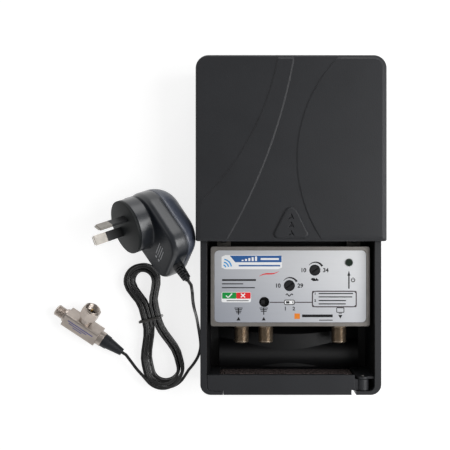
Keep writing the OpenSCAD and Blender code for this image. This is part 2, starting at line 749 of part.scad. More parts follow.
// the lower fold is wider than the upper one
function hank_flat(t) = let (f = t - floor(t), r = hank_radius(t), wide = r + hank_wide)
    f < 0.2 ? [r + hank_wide*ease(f/0.2), hank_half - f/0.2*hank_run] :
    f < 0.5 ? [wide*cos(-(f - 0.2)*600), -hank_half + wide*sin(-(f - 0.2)*600)] :
    f < 0.7 ? [-r - hank_wide*ease((0.7 - f)/0.2), -hank_half + (f - 0.5)/0.2*hank_run] :
    [r*cos(180 - (f - 0.7)*600), hank_half + r*sin(180 - (f - 0.7)*600)];
function hank_point(t) = let (q = hank_flat(t), w = waist(q[1]), side = sign(q[0])*(hank_radius(t) - hank_draw),
    drawn = q[0] + (side - q[0])*w, s = hank_extra(t), x = drawn*cos(s) - (q[1] - waist_y)*sin(s))
    [hank_at[0] + x*cos(hank_lean) - q[1]*sin(hank_lean), hank_at[1] + x*sin(hank_lean) + q[1]*cos(hank_lean),
     cord_r + 0.1 + hank_layer*hank_level(t) + hank_lift*w];
function hank_points(per_turn) = let (count = ceil((hank_stop - hank_start)*per_turn))
    [for (i = [0:count]) hank_point(hank_start + (hank_stop - hank_start)*i/count)];
hank_centre = hank_points(hank_rings);
hank_first_t = unit(hank_point(hank_start + 0.002) - hank_point(hank_start));
hank_last_t = unit(hank_point(hank_stop) - hank_point(hank_stop - 0.002));
hank_first = hank_point(hank_start) - cord_d*hank_first_t;
hank_last = hank_point(hank_stop) + cord_d*hank_last_t;
hank_line = concat([hank_first], hank_centre, [hank_last]);
relief_exit = pack_at + (body_end + relief_len)*pack_u + relief_z*pack_n;
lead_in_line = concat([relief_exit, relief_exit + cord_d*pack_u],
    spline(concat([relief_exit + 2*cord_d*pack_u], lead_in_route, [hank_first - 2*cord_d*hank_first_t]), 2),
    [hank_first - cord_d*hank_first_t, hank_first]);
lead_out_line = concat([hank_last, hank_last + cord_d*hank_last_t],
    spline(concat([hank_last + 1.6*cord_d*hank_last_t], lead_out_route, [boot_tip + 1.6*cord_d*inj_a]), 2),
    [boot_tip + cord_d*inj_a, boot_tip]);

// least gap of the wound cord to itself, on points at least a third of a loop apart
module hank_gap_echo() {
    per = 60;
    p = hank_points(per);
    gap = min([for (i = [0:len(p) - 1], j = [i + per/3:len(p) - 1]) norm(p[i] - p[j])]) - cord_d;
    echo(hank_least_gap_mm = gap);
}

module cord_lead_in() { color("black") tube(lead_in_line, cord_r, 8); }

module cord_hank() {
    color("black") tube(hank_line, cord_r, 6);
    hank_gap_echo();
}

module cord_lead_out() { color("black") tube(lead_out_line, cord_r, 8); }

// tie round the hank's waist
module hank_tie() {
    left = hank_fold_r + 2*hank_step - hank_draw + cord_r + tie_side;
    right = hank_fold_r + 1.5*hank_step - hank_draw + cord_r + tie_side;
    high = 2*cord_r + 0.1 + 3*hank_layer + hank_lift + tie_play - tie_t;
    color("black") translate([hank_at[0], hank_at[1], 0]) rotate(hank_lean)
        translate([(right - left)/2, waist_y + tie_w/2, tie_t + high/2]) rotate([90, 0, 0]) linear_extrude(tie_w)
        difference() {
            round_rect(left + right + 2*tie_t, high + 2*tie_t, 1.8);
            round_rect(left + right, high, 1.8 - tie_t);
        }
}

// power injector
module injector_place() {
    multmatrix([[inj_a[0], inj_m[0], inj_f[0], inj_at[0]], [inj_a[1], inj_m[1], inj_f[1], inj_at[1]],
        [inj_a[2], inj_m[2], inj_f[2], inj_at[2]], [0, 0, 0, 1]]) children();
}

// round bar along the injector from x0 to x1
module inj_bar(x0, x1, r0, r1) {
    translate([x0, 0, 0]) rotate([0, 90, 0]) cylinder(h = x1 - x0, r1 = r0, r2 = r1);
}

// round bar out of the injector's side from y0 to y1
module inj_post(y0, y1, r) {
    translate([0, y0, 0]) rotate([-90, 0, 0]) cylinder(h = y1 - y0, r = r);
}

module injector_boot() {
    far = inj_len/2 + ferrule_len;
    color("black") injector_place() {
        inj_bar(far, far + 4, 4.6, 4.4);
        inj_bar(far + 4, far + boot_len, 4.0, 2.4);
    }
}

module injector_ferrule() {
    color("tan") injector_place() {
        inj_bar(inj_len/2, inj_len/2 + ferrule_len, 4.9, 4.9);
    }
}

module injector_body() {
    skin = 1;
    color("tan") injector_place() difference() {
        rotate([0, 90, 0]) translate([0, 0, -inj_len/2]) linear_extrude(inj_len) round_rect(inj_high, inj_deep, inj_round);
        block([-inj_len/2 + skin, -inj_deep/2 + skin, -inj_high/2 + skin], [inj_len/2 - skin, inj_deep/2 - skin, inj_high/2 - skin]);
        inj_bar(-inj_len/2 - 1, -inj_len/2 + 2, 2.8, 2.8);
        inj_post(inj_deep/2 - 2, inj_deep/2 + 1, 2.8);
    }
}

module injector_barrel() {
    color("tan") injector_place() difference() {
        union() {
            inj_bar(-inj_len/2 - barrel_len, -inj_len/2, barrel_r, barrel_r);
            inj_bar(-inj_len/2 - 1.5, -inj_len/2, barrel_r + 0.8, barrel_r + 0.8);
        }
        inj_bar(-inj_len/2 - barrel_len - 1, -inj_len/2 + 1, 2.8, 2.8);
    }
}

module injector_collar() {
    color("tan") injector_place() difference() {
        union() {
            inj_post(inj_deep/2, inj_deep/2 + collar_len - play, collar_r);
            inj_post(inj_deep/2, inj_deep/2 + collar_len + 2, 3.6);
            inj_post(inj_deep/2 + collar_len + 1.5, inj_deep/2 + collar_len + 2.4, 4.1);
        }
        inj_post(inj_deep/2 - 1, inj_deep/2 + collar_len + 5, 2.8);
    }
}

module injector_nut() {
    y0 = inj_deep/2 + collar_len;
    color("tan") injector_place() difference() {
        union() {
            translate([0, y0, 0]) rotate([-90, 0, 0]) cylinder(h = nut_len - 1, r = nut_flats/2/cos(30), $fn = 6);
            inj_post(y0, y0 + nut_len, nut_flats/2 - 0.3);
        }
        inj_post(y0 - 1, y0 + 3, 3.65);
        inj_post(y0 + 1.2, y0 + 2.7, 4.4);
        inj_post(y0 + 2.6, y0 + nut_len + 1, port_r);
    }
}

module injector_insulators() {
    color("ivory") injector_place() {
        difference() {
            inj_bar(-inj_len/2 - barrel_len + 2, -inj_len/2 + 1, 2.8, 2.8);
            inj_bar(-inj_len/2 - barrel_len, -inj_len/2 + 4, 0.5, 0.5);
        }
        difference() {
            inj_post(inj_deep/2 - 1, inj_deep/2 + collar_len + 1.8, 2.8);
            inj_post(inj_deep/2 - 4, inj_deep/2 + collar_len + 4, 0.5);
        }
    }
}

module injector_contact() {
    color("goldenrod") injector_place() {
        inj_bar(-inj_len/2 - barrel_len + 1, 0, 0.5, 0.5);
        inj_post(0, inj_deep/2 + collar_len + nut_len - 1, 0.5);
        sphere(0.8);
    }
}

module injector_choke() {
    color("green") injector_place() {
        block([0.8, -inj_deep/2 + 1, -0.8], [inj_len/2 - 1, inj_deep/2 - 1, 0.8]);
        translate([8, 0, 0.6]) cylinder(h = 3.4, r = 2.2);
    }
}

base_housing();
cover();
cable_gate();
gate_hinge_pin();
base_foam();
gate_foam();
amp_case();
amp_back_plate();
amp_screws();
front_label();
uhf_input_port();
vhf_input_port();
tv_output_port();
port_insulators();
port_contacts();
uhf_gain_knob();
vhf_gain_knob();
trimmer_bodies();
band_switch_slider();
switch_body();
power_led();
circuit_board();
filter_coils();
pack_front_shell();
plug_face();
pack_rear_shell();
mains_pins();
pin_sleeves();
transformer_core();
transformer_winding();
rectifier_board();
strain_relief();
cord_lead_in();
cord_hank();
hank_tie();
cord_lead_out();
injector_boot();
injector_ferrule();
injector_body();
injector_barrel();
injector_collar();
injector_nut();
injector_insulators();
injector_contact();
injector_choke();
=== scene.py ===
"""A TV signal amplifier kit: the looks of its pieces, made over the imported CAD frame.

The file is laid out as an add-on and run as a script. Lengths are metres, and the frame is the CAD one:
X across the housing, Y up its length, Z towards the viewer, with the origin in the middle of the back face.
"""

import math

import bmesh
import bpy
import numpy as np
from bpy.props import FloatProperty, FloatVectorProperty, IntProperty, PointerProperty
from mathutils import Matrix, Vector


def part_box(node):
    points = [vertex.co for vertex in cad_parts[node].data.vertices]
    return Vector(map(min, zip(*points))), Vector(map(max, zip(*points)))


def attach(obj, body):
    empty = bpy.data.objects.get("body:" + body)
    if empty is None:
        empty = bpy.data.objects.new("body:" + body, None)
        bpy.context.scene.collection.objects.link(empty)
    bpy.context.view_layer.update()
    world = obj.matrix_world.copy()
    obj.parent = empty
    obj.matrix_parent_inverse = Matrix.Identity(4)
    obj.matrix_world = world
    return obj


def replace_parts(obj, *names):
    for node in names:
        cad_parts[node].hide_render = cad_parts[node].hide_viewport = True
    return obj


bl_info = {
    "name": "TV amplifier kit",
    "version": (1, 0, 0),
    "blender": (4, 5, 0),
    "location": "View3D > Sidebar > Amplifier",
    "description": "Makes the visible pieces of a masthead amplifier, its plug pack and its lead",
    "category": "Object",
}

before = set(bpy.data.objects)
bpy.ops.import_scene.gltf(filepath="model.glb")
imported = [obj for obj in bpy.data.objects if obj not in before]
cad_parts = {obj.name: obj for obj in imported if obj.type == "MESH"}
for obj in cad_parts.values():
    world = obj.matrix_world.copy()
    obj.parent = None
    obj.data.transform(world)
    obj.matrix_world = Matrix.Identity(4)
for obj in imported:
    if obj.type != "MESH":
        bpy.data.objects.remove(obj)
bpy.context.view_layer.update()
MM = 0.001
TAU = 2 * math.pi


# Plain maths on arrays


def ease(x):
    """Smooth step from 0 to 1: 3x^2 - 2x^3 of x held between 0 and 1."""
    c = np.clip(x, 0.0, 1.0)
    return c * c * (3.0 - 2.0 * c)


def unit(v):
    """Vectors along the last axis, scaled to length one."""
    v = np.asarray(v, float)
    return v / np.maximum(np.linalg.norm(v, axis=-1, keepdims=True), 1e-12)


def turn_points(angle):
    """Points of the unit circle at the angles, as an array of (cosine, sine)."""
    return np.stack([np.cos(angle), np.sin(angle)], -1)


def round_angles(count):
    """That many even angles round a full turn, from 0."""
    return np.arange(count) / count * TAU


def at_height(flat, z):
    """Flat points (n by 2) with the height z as their third number."""
    return np.concatenate([flat, np.full((len(flat), 1), z)], 1)


def direction(turn, rise):
    """Unit vector turned from X towards Y by one angle and raised towards Z by the other."""
    return np.array([math.cos(rise) * math.cos(turn), math.cos(rise) * math.sin(turn), math.sin(rise)])


def waves(points, count, low, high, seed):
    """Sum of count plane sine waves with seeded directions and wave numbers, about -1 to 1."""
    rng = np.random.default_rng(seed)
    way = unit(rng.normal(size=(count, points.shape[-1])))
    number = rng.uniform(low, high, count)
    phase = rng.uniform(0, TAU, count)
    return np.sin(points @ (way * number[:, None]).T + phase).sum(-1) / math.sqrt(count)


# Meshes from grids of points


def quads(rows, cols, round_rows=False, round_cols=False):
    """Corner numbers of the quads of a grid; a round direction joins its last line to its first."""
    r = np.arange(rows if round_rows else rows - 1)[:, None]
    c = np.arange(cols if round_cols else cols - 1)[None, :]
    r2 = (r + 1) % rows
    c2 = (c + 1) % cols
    corners = [r * cols + c, r * cols + c2, r2 * cols + c2, r2 * cols + c]
    return np.stack(corners, -1).reshape(-1, 4)


def mesh_piece(name, points, faces, finish, body, crease=38.0):
    """One piece from points (n by 3) and lists of corner numbers, riding on a CAD body with its finish.

    Doubled points are merged, faces turned outwards, and edges bent by more than crease degrees stay sharp.
    """
    mesh = bpy.data.meshes.new(name)
    mesh.from_pydata(np.asarray(points, float).reshape(-1, 3).tolist(), [], [list(f) for f in faces])
    mesh.validate()
    shell = bmesh.new()
    shell.from_mesh(mesh)
    bmesh.ops.remove_doubles(shell, verts=shell.verts, dist=1e-7)
    bmesh.ops.recalc_face_normals(shell, faces=shell.faces)
    shell.to_mesh(mesh)
    shell.free()
    mesh.polygons.foreach_set("use_smooth", [True] * len(mesh.polygons))
    mesh.set_sharp_from_angle(angle=math.radians(crease))
    mesh.materials.append(finish)
    mesh.update()
    piece = bpy.data.objects.new(name, mesh)
    bpy.context.scene.collection.objects.link(piece)
    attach(piece, body)
    return piece


def join_parts(parts):
    """Several (points, faces) pairs as one, with the corner numbers moved along."""
    points = []
    faces = []
    count = 0
    for some_points, some_faces in parts:
        some_points = np.asarray(some_points, float).reshape(-1, 3)
        points.append(some_points)
        faces += [[int(i) + count for i in f] for f in some_faces]
        count += len(some_points)
    return np.concatenate(points), faces


def rings(stack):
    """Skin over a stack of rings (rows by around by 3), with a flat cap on each end."""
    rows, cols = stack.shape[:2]
    faces = quads(rows, cols, round_cols=True).tolist()
    faces.append(list(range(cols - 1, -1, -1)))
    faces.append([(rows - 1) * cols + k for k in range(cols)])
    return stack.reshape(-1, 3), faces


def looped(stack):
    """Skin over a stack of rings whose last ring joins its first, so that it needs no cap."""
    return stack.reshape(-1, 3), quads(*stack.shape[:2], True, True)


def placed(points, at, x_way, y_way, z_way):
    """Points (x, y, z) set along three directions from a place: at + x X + y Y + z Z."""
    points = np.asarray(points, float)
    return np.asarray(at) + points @ np.array([x_way, y_way, z_way], float)


# Directions tried for a hull, the least cosine that counts, and the reach where none does
HULL_WAYS = 1440
LEAST_LEAN = 0.05
OUT_OF_REACH = 1e3


def hull_reach(circles, angle, inset, centre=(0.0, 0.0)):
    """Distance from centre to the edge of the hull of circles (x, y, r), drawn in by inset, at each angle.

    The hull is where p.n <= h(n) for every direction n, with h the largest c.n + r, so the reach at an
    angle is the least (h - inset - centre.n) / cos between n and the angle.
    """
    ways = round_angles(HULL_WAYS)
    n = turn_points(ways)
    circles = np.asarray(circles, float)
    h = (n @ circles[:, :2].T + circles[:, 2]).max(1) - n @ np.asarray(centre, float)
    inset = np.asarray(inset, float).reshape(-1, 1, 1)
    lean = np.cos(np.asarray(angle)[:, None] - ways[None])
    reach = np.where(lean > LEAST_LEAN, (h[None] - inset) / np.maximum(lean, LEAST_LEAN), OUT_OF_REACH)
    return reach.min(-1)


def hull_ring(wide, tall, corner, angle):
    """Points of a round-cornered rectangle of half sizes wide and tall, one at each angle."""
    circles = [(sx * (wide - corner), sy * (tall - corner), corner) for sx in (-1, 1) for sy in (-1, 1)]
    return turn_points(angle) * hull_reach(circles, angle, 0.0).reshape(-1, 1)


# Materials written as expressions


class Value:
    """A node socket; the usual operators on it add Math nodes."""

    def __init__(self, nodes, socket):
        self.nodes = nodes
        self.socket = socket

    def math(self, operation, *others):
        """This value and others through one Math node."""
        return self.nodes.node("ShaderNodeMath", {"operation": operation}, [self, *others])

    def __add__(self, other):
        return self.math("ADD", other)

    def __sub__(self, other):
        return self.math("SUBTRACT", other)

    def __rsub__(self, other):
        return self.nodes.node("ShaderNodeMath", {"operation": "SUBTRACT"}, [other, self])

    def __mul__(self, other):
        return self.math("MULTIPLY", other)

    __radd__ = __add__
    __rmul__ = __mul__

    def step(self, low, high):
        """0 below low, 1 above high, smooth between."""
        inputs = {"Value": self, "From Min": low, "From Max": high, "To Min": 0.0, "To Max": 1.0}
        return self.nodes.node("ShaderNodeMapRange", {"interpolation_type": "SMOOTHSTEP"}, inputs)


class Nodes:
    """A node tree whose sockets take constants or expressions."""

    def __init__(self, tree):
        self.tree = tree

    def link(self, socket, value):
        """Sets a socket to a number or colour, or links a value to it."""
        if isinstance(value, Value):
            self.tree.links.new(value.socket, socket)
        elif socket.type == "RGBA" and len(value) == 3:
            socket.default_value = (*value, 1.0)
        else:
            socket.default_value = value

    def node(self, kind, settings=None, inputs=(), output=0):
        """A node of a kind with its settings, its inputs by number or name, and one of its outputs."""
        made = self.tree.nodes.new(kind)
        for key, value in (settings or {}).items():
            setattr(made, key, value)
        pairs = inputs.items() if isinstance(inputs, dict) else enumerate(inputs)
        for key, value in pairs:
            self.link(made.inputs[key], value)
        return Value(self, made.outputs[output])

    def seen(self):
        """1 for a ray from the camera, a mirror or glass, and 0 for one that only gathers light."""
        kinds = ("Camera", "Glossy", "Transmission")
        eye, mirror, glass = [self.node("ShaderNodeLightPath", output=f"Is {kind} Ray") for kind in kinds]
        return eye.math("MAXIMUM", mirror).math("MAXIMUM", glass)


class Finish(Nodes):
    """One material: a Principled surface whose inputs are constants or expressions."""

    def __init__(self, name, **constants):
        self.material = bpy.data.materials.new(name)
        self.material.use_nodes = True
        super().__init__(self.material.node_tree)
        self.surface = self.tree.nodes["Principled BSDF"]
        self.seat = None
        for socket, value in constants.items():
            self.put(socket.replace("_", " "), value)

    def put(self, socket, value):
        """A constant or a link into one input of the surface."""
        self.link(self.surface.inputs[socket], value)

    def place(self):
        """Object coordinates, made once."""
        if self.seat is None:
            self.seat = self.node("ShaderNodeTexCoord", output="Object")
        return self.seat

    def part(self, axis):
        """One coordinate of the place, in metres."""
        return self.node("ShaderNodeSeparateXYZ", None, [self.place()], output=axis)

    def along(self, way):
        """Distance along a direction."""
        settings = {"operation": "DOT_PRODUCT"}
        return self.node("ShaderNodeVectorMath", settings, [self.place(), way], "Value")

    def noise(self, scale, detail, roughness, stretch=None):
        """Noise of about 0 to 1, with scale patterns to the metre, stretched along the axes if asked."""
        where = self.place()
        if stretch is not None:
            where = self.node("ShaderNodeMapping", None, {"Vector": where, "Scale": stretch})
        inputs = {"Vector": where, "Scale": scale, "Detail": detail, "Roughness": roughness}
        return self.node("ShaderNodeTexNoise", None, inputs)

    def cells(self, scale):
        """Distance to the nearest cell point, with scale cells to the metre."""
        return self.node("ShaderNodeTexVoronoi", None, {"Vector": self.place(), "Scale": scale})

    def blend(self, factor, one, two):
        """Colour one at factor 0 and two at factor 1."""
        return self.node("ShaderNodeMix", {"data_type": "RGBA"}, {0: factor, 6: one, 7: two}, 2)

    def bump(self, height, distance, strength, rounded=0.0):
        """Height in units of distance metres as a normal, over edges rounded by the bevel node if asked."""
        inputs = {"Height": height, "Distance": distance, "Strength": strength}
        if rounded:
            inputs["Normal"] = self.node("ShaderNodeBevel", {"samples": 4}, {"Radius": rounded})
        self.put("Normal", self.node("ShaderNodeBump", None, inputs))


def colour(red, green, blue):
    """A colour written in the screen's 0 to 255, as linear light."""
    c = np.array([red, green, blue]) / 255.0
    return tuple(float(x) for x in np.where(c <= 0.04045, c / 12.92, ((c + 0.055) / 1.055) ** 2.4))


def shade(rgb, factor):
    """A linear colour made lighter or darker."""
    return tuple(min(1.0, float(x) * factor) for x in rgb[:3])


FINISHES = {}


def once(maker):
    """Turns a maker of finishes into one that makes each name once and gives its material."""

    def made(name, *values, **options):
        if name not in FINISHES:
            FINISHES[name] = maker(name, *values, **options).material
        return FINISHES[name]

    return made


# Sizes and colours that a user would change


def tint(name, description, red, green, blue):
    """A colour property with its default written in the screen's 0 to 255."""
    default = colour(red, green, blue)
    return FloatVectorProperty(
        name=name, description=description, subtype="COLOR", size=3, min=0, max=1, default=default
    )


def size(name, description, default):
    """A length property in metres."""
    return FloatProperty(name=name, description=description, default=default, unit="LENGTH", precision=5)


def power(name, description, default):
    """The power of a light, in watts."""
    return FloatProperty(name=name, description=description, default=default, unit="POWER")


class HousingLook(bpy.types.PropertyGroup):
    """Mouldings of the outdoor housing."""

    plastic: tint("Plastic", "Colour of the base, the gate and the cover", 36, 37, 40)
    grain: size("Grain", "Depth of the moulded grain", 0.00007)
    edge: size("Edge", "Radius of the cover's front edge", 0.0016)
    rise: size("Panel rise", "Height of the cover's raised panels", 0.0006)
    step: size("Step width", "Width of the sloped steps on the cover", 0.0009)
    foam: tint("Foam", "Colour of the foam strips", 46, 40, 39)


class AmplifierLook(bpy.types.PropertyGroup):
    """Metal case, label and ports of the amplifier."""

    case: tint("Case", "Colour of the case metal", 136, 132, 128)
    # The label's colour runs from a lit end at the upper right to a shaded end at the lower left, as painted
    # light
    label_lit: tint("Label top", "Colour of the label's upper end", 232, 233, 235)
    label_shaded: tint("Label foot", "Colour of the label's lower end", 162, 166, 176)
    ink: tint("Ink", "Colour of the printed marks", 16, 16, 20)
    band: tint("Band", "Colour of the printed title band", 44, 96, 160)
    nickel: tint("Nickel", "Colour of the ports' plating", 160, 145, 127)
    pitch: size("Thread pitch", "Pitch of the port thread, 32 to the inch", 0.00079375)


class PackLook(bpy.types.PropertyGroup):
    """Plug pack, lead and injector."""

    shell: tint("Shell", "Colour of the plug pack's shells", 24, 28, 34)
    # The rear shell's colour is a lighter, bluer copy of the shells' colour, standing in for its highlight: a
    # painted highlight
    dome: tint("Dome", "Colour of the plug pack's rear shell", 58, 64, 78)
    sheath: tint("Sheath", "Colour of the lead's sheath", 7, 7, 7)
    lead: size("Lead diameter", "Diameter of the lead", 0.002)
    plating: tint("Plating", "Colour of the injector's plating", 182, 172, 164)
    sides: IntProperty(name="Sides", description="Sides of round pieces", default=72, min=24, max=160)


class StageLook(bpy.types.PropertyGroup):
    """Light and floor."""

    key: power("Key", "Power of the light at the right", 3.6)
    left: power("Left", "Power of the light at the left", 0.2)
    front: power("Front", "Power of the light below the housing", 0.5)
    back: power("Back", "Power of the light above the housing", 2.5)
    sky: FloatProperty(name="Sky", description="Strength of the soft light all round", default=0.3, min=0)
    floor: tint("Floor", "Colour of the floor", 170, 170, 170)
    glow: FloatProperty(name="Glow", description="White that the floor shows to the eye", default=0.78, min=0)


# Finishes


# Darkness of the painted shade on deep faces, roughness of a polished skin, and in metres where the label's
# painted light and shade run
PAINTED_DEEP_SHADE = 0.25
POLISH_ROUGH = 0.3
LABEL_PAINTED_DOWN = (-0.0125, 0.0335)
LABEL_PAINTED_ACROSS = (-0.06, 0.05)


@once
def moulded(name, rgb, rough, grain, scale, rounded, gloss=0.35, deep=None, polish=None):
    """Moulded plastic: spark-eroded grain in the bump, slightly uneven colour and gloss, and rounded edges.

    Grain is the bump's depth, scale its patterns to the metre, and rounded the radius of edges. Where they are
    given, deep is 1 on faces darkened by painted shade and polish is 1 on faces with a smooth skin.
    """
    f = Finish(name, Specular_IOR_Level=gloss)
    fine = f.noise(scale, 2.0, 0.55)
    broad = f.noise(40.0, 2.0, 0.5)
    tone = f.blend(0.55 * fine + 0.45 * broad, shade(rgb, 0.80), shade(rgb, 1.22))
    # Painted shade: where deep is 1 the colour goes to a darker copy of itself
    if deep is not None:
        tone = f.blend(deep(f), tone, shade(rgb, PAINTED_DEEP_SHADE))
    f.put("Base Color", tone)
    if polish is not None:
        f.put("Coat Roughness", POLISH_ROUGH)
        f.put("Coat Weight", polish(f))
    f.put("Roughness", (fine - 0.5) * 0.2 + (broad - 0.5) * 0.12 + rough)
    f.bump(fine, grain, 0.7, rounded)
    return f


@once
def plated(name, rgb, rough, rounded=0.0002, metal=1.0, streak=None):
    """Plated metal: broad tarnish in the colour, fine drawn lines and small knocks in roughness and bump."""
    f = Finish(name, Metallic=metal)
    lines = f.noise(2600.0, 2.0, 0.6, streak)
    stain = f.noise(160.0, 3.0, 0.6)
    f.put("Base Color", f.blend(stain.step(0.3, 0.75), rgb, shade(rgb, 0.82)))
    f.put("Roughness", (lines - 0.5) * 0.18 + (stain - 0.5) * 0.16 + rough)
    f.bump(lines, 0.000008, 0.3, rounded)
    return f


@once
def open_foam(name, rgb):
    """Open-celled foam: cells in the bump, and in the colour dark pores as painted shade against pale cell
    walls.
    """
    f = Finish(name, Roughness=0.95, Specular_IOR_Level=0.15)
    pores = f.cells(1050.0)
    grit = f.noise(1500.0, 2.0, 0.7)
    wall = (pores * 1.2 + grit).step(0.75, 1.35)
    # Painted shade: the pores take a darker copy of the colour
    f.put("Base Color", f.blend(wall, shade(rgb, 0.3), shade(rgb, 4.5)))
    f.bump(wall, 0.0005, 0.9)
    return f


@once
def label_film(name, top, low):
    """Printed label film: silver colour with painted light, darker down the label and to the left, with a
    faint drawn sheen.
    """
    f = Finish(name, Metallic=0.15, Specular_IOR_Level=0.4)
    down = f.part("Y").step(*LABEL_PAINTED_DOWN)
    across = f.part("X").step(*LABEL_PAINTED_ACROSS)
    drawn = f.noise(900.0, 2.0, 0.5, (0.06, 1.0, 1.0))
    # Painted light: the film is lighter at the top and at the right, darker down and to the left
    fade = f.blend(down * 0.4 + across * 0.6, low, top)
    f.put("Base Color", f.blend(0.06 * drawn, fade, (0.0, 0.0, 0.0)))
    f.put("Roughness", (drawn - 0.5) * 0.12 + 0.38)
    return f


@once
def clouded(name, rgb, gloss, grain, tones, rough, bump=None):
    """One colour with faint clouds: noise of that grain between two tones, in the gloss and in the bump.

    Grain is a noise's scale, detail and roughness, rough is the middle roughness and how far it sways, and
    bump is the bump's distance, strength and rounding.
    """
    f = Finish(name, Specular_IOR_Level=gloss)
    cloud = f.noise(*grain)
    f.put("Base Color", f.blend(cloud, shade(rgb, tones[0]), shade(rgb, tones[1])))
    f.put("Roughness", (cloud - 0.5) * rough[1] + rough[0])
    if bump is not None:
        f.bump(cloud, *bump)
    return f


# Screen-printed ink, soft sheath of a lead, and insulating resin
INK = {"gloss": 0.3, "grain": (3000.0, 1.0, 0.5), "tones": (0.9, 1.1), "rough": (0.5, 0.1)}
SHEATH = {"gloss": 0.7, "grain": (420.0, 3.0, 0.6), "tones": (0.7, 1.5), "rough": (0.2, 0.1)}
SHEATH["bump"] = (0.00001, 0.3)
RESIN = {"gloss": 0.4, "grain": (500.0, 2.0, 0.5), "tones": (0.88, 1.06), "rough": (0.4, 0.15)}
RESIN["bump"] = (0.00003, 0.4, 0.0002)


@once
def circuit_green(name):
    """Circuit board: green lacquer over a grid of copper tracks that shows through as lighter lines."""
    f = Finish(name, Specular_IOR_Level=0.5)
    tracks = f.part("X") * 900.0
    lines = (tracks.math("SINE") * f.noise(180.0, 1.0, 0.5)).step(0.25, 0.45)
    f.put("Base Color", f.blend(lines, colour(14, 70, 38), colour(40, 116, 62)))
    f.put("Roughness", 0.32 + lines * 0.12)
    f.bump(lines, 0.00003, 0.6)
    return f


@once
def wound_wire(name):
    """Enamelled copper wire: lines of turns in the bump and in the colour."""
    f = Finish(name, Metallic=0.8, Coat_Weight=0.4)
    turns = (f.along((5200.0, 7400.0, 3800.0)).math("SINE") + 1.0) * 0.5
    f.put("Base Color", f.blend(turns, colour(96, 46, 20), colour(196, 116, 62)))
    f.put("Roughness", 0.3 + turns * 0.15)
    f.bump(turns, 0.0001, 0.8)
    return f


@once
def stacked_steel(name):
    """Laminated core: dark lines between thin steel plates."""
    f = Finish(name, Metallic=0.9)
    plates = (f.along((3048.0, 2112.0, 5072.0)).math("SINE") + 1.0) * 0.5
    rust = f.noise(220.0, 3.0, 0.6)
    f.put("Base Color", f.blend(plates, colour(70, 68, 66), colour(150, 146, 140)))
    f.put("Roughness", 0.4 + rust * 0.25)
    f.bump(plates, 0.0001, 0.7)
    return f


@once
def light_lens(name):
    """Green light lens: deep clear green with a glossy coat and a cloudier heart."""
    f = Finish(name, Coat_Weight=0.6, Transmission_Weight=0.25)
    cloud = f.noise(700.0, 2.0, 0.5)
    f.put("Base Color", f.blend(cloud, colour(6, 22, 14), colour(14, 46, 28)))
    f.put("Roughness", 0.12 + cloud * 0.12)
    return f


def dress(finish, *nodes):
    """Gives CAD nodes a material in place of their own."""
    for node in nodes:
        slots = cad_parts[node].material_slots
        if slots:
            for slot in slots:
                slot.link = "OBJECT"
                slot.material = finish
        else:
            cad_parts[node].data.materials.append(finish)


# Stage


# Camera, sky, floor and lamps, in metres; each lamp has its place and its width
CAMERA_AT = (-0.0196, 0.0427, 0.4359)
CAMERA_SENSOR = 36.0
CAMERA_LENS = 51.45
CAMERA_SHIFT = (-0.0758, 0.025)
CAMERA_CLIP = (0.01, 20.0)
SKY_FADE = (0.25, 0.8)
FLOOR_HALF = 0.5
FLOOR_LINES = 9
FLOOR_Z = -0.0003
LAMP_AIM = Vector((-0.02, 0.045, 0.02))
LAMPS = {
    "key": ((0.46, 0.04, 0.48), 0.45),
    "left": ((-0.70, 0.20, 0.45), 0.5),
    "front": ((0.10, -0.72, 0.50), 0.5),
    "back": ((0.20, 0.95, 0.30), 0.6),
}


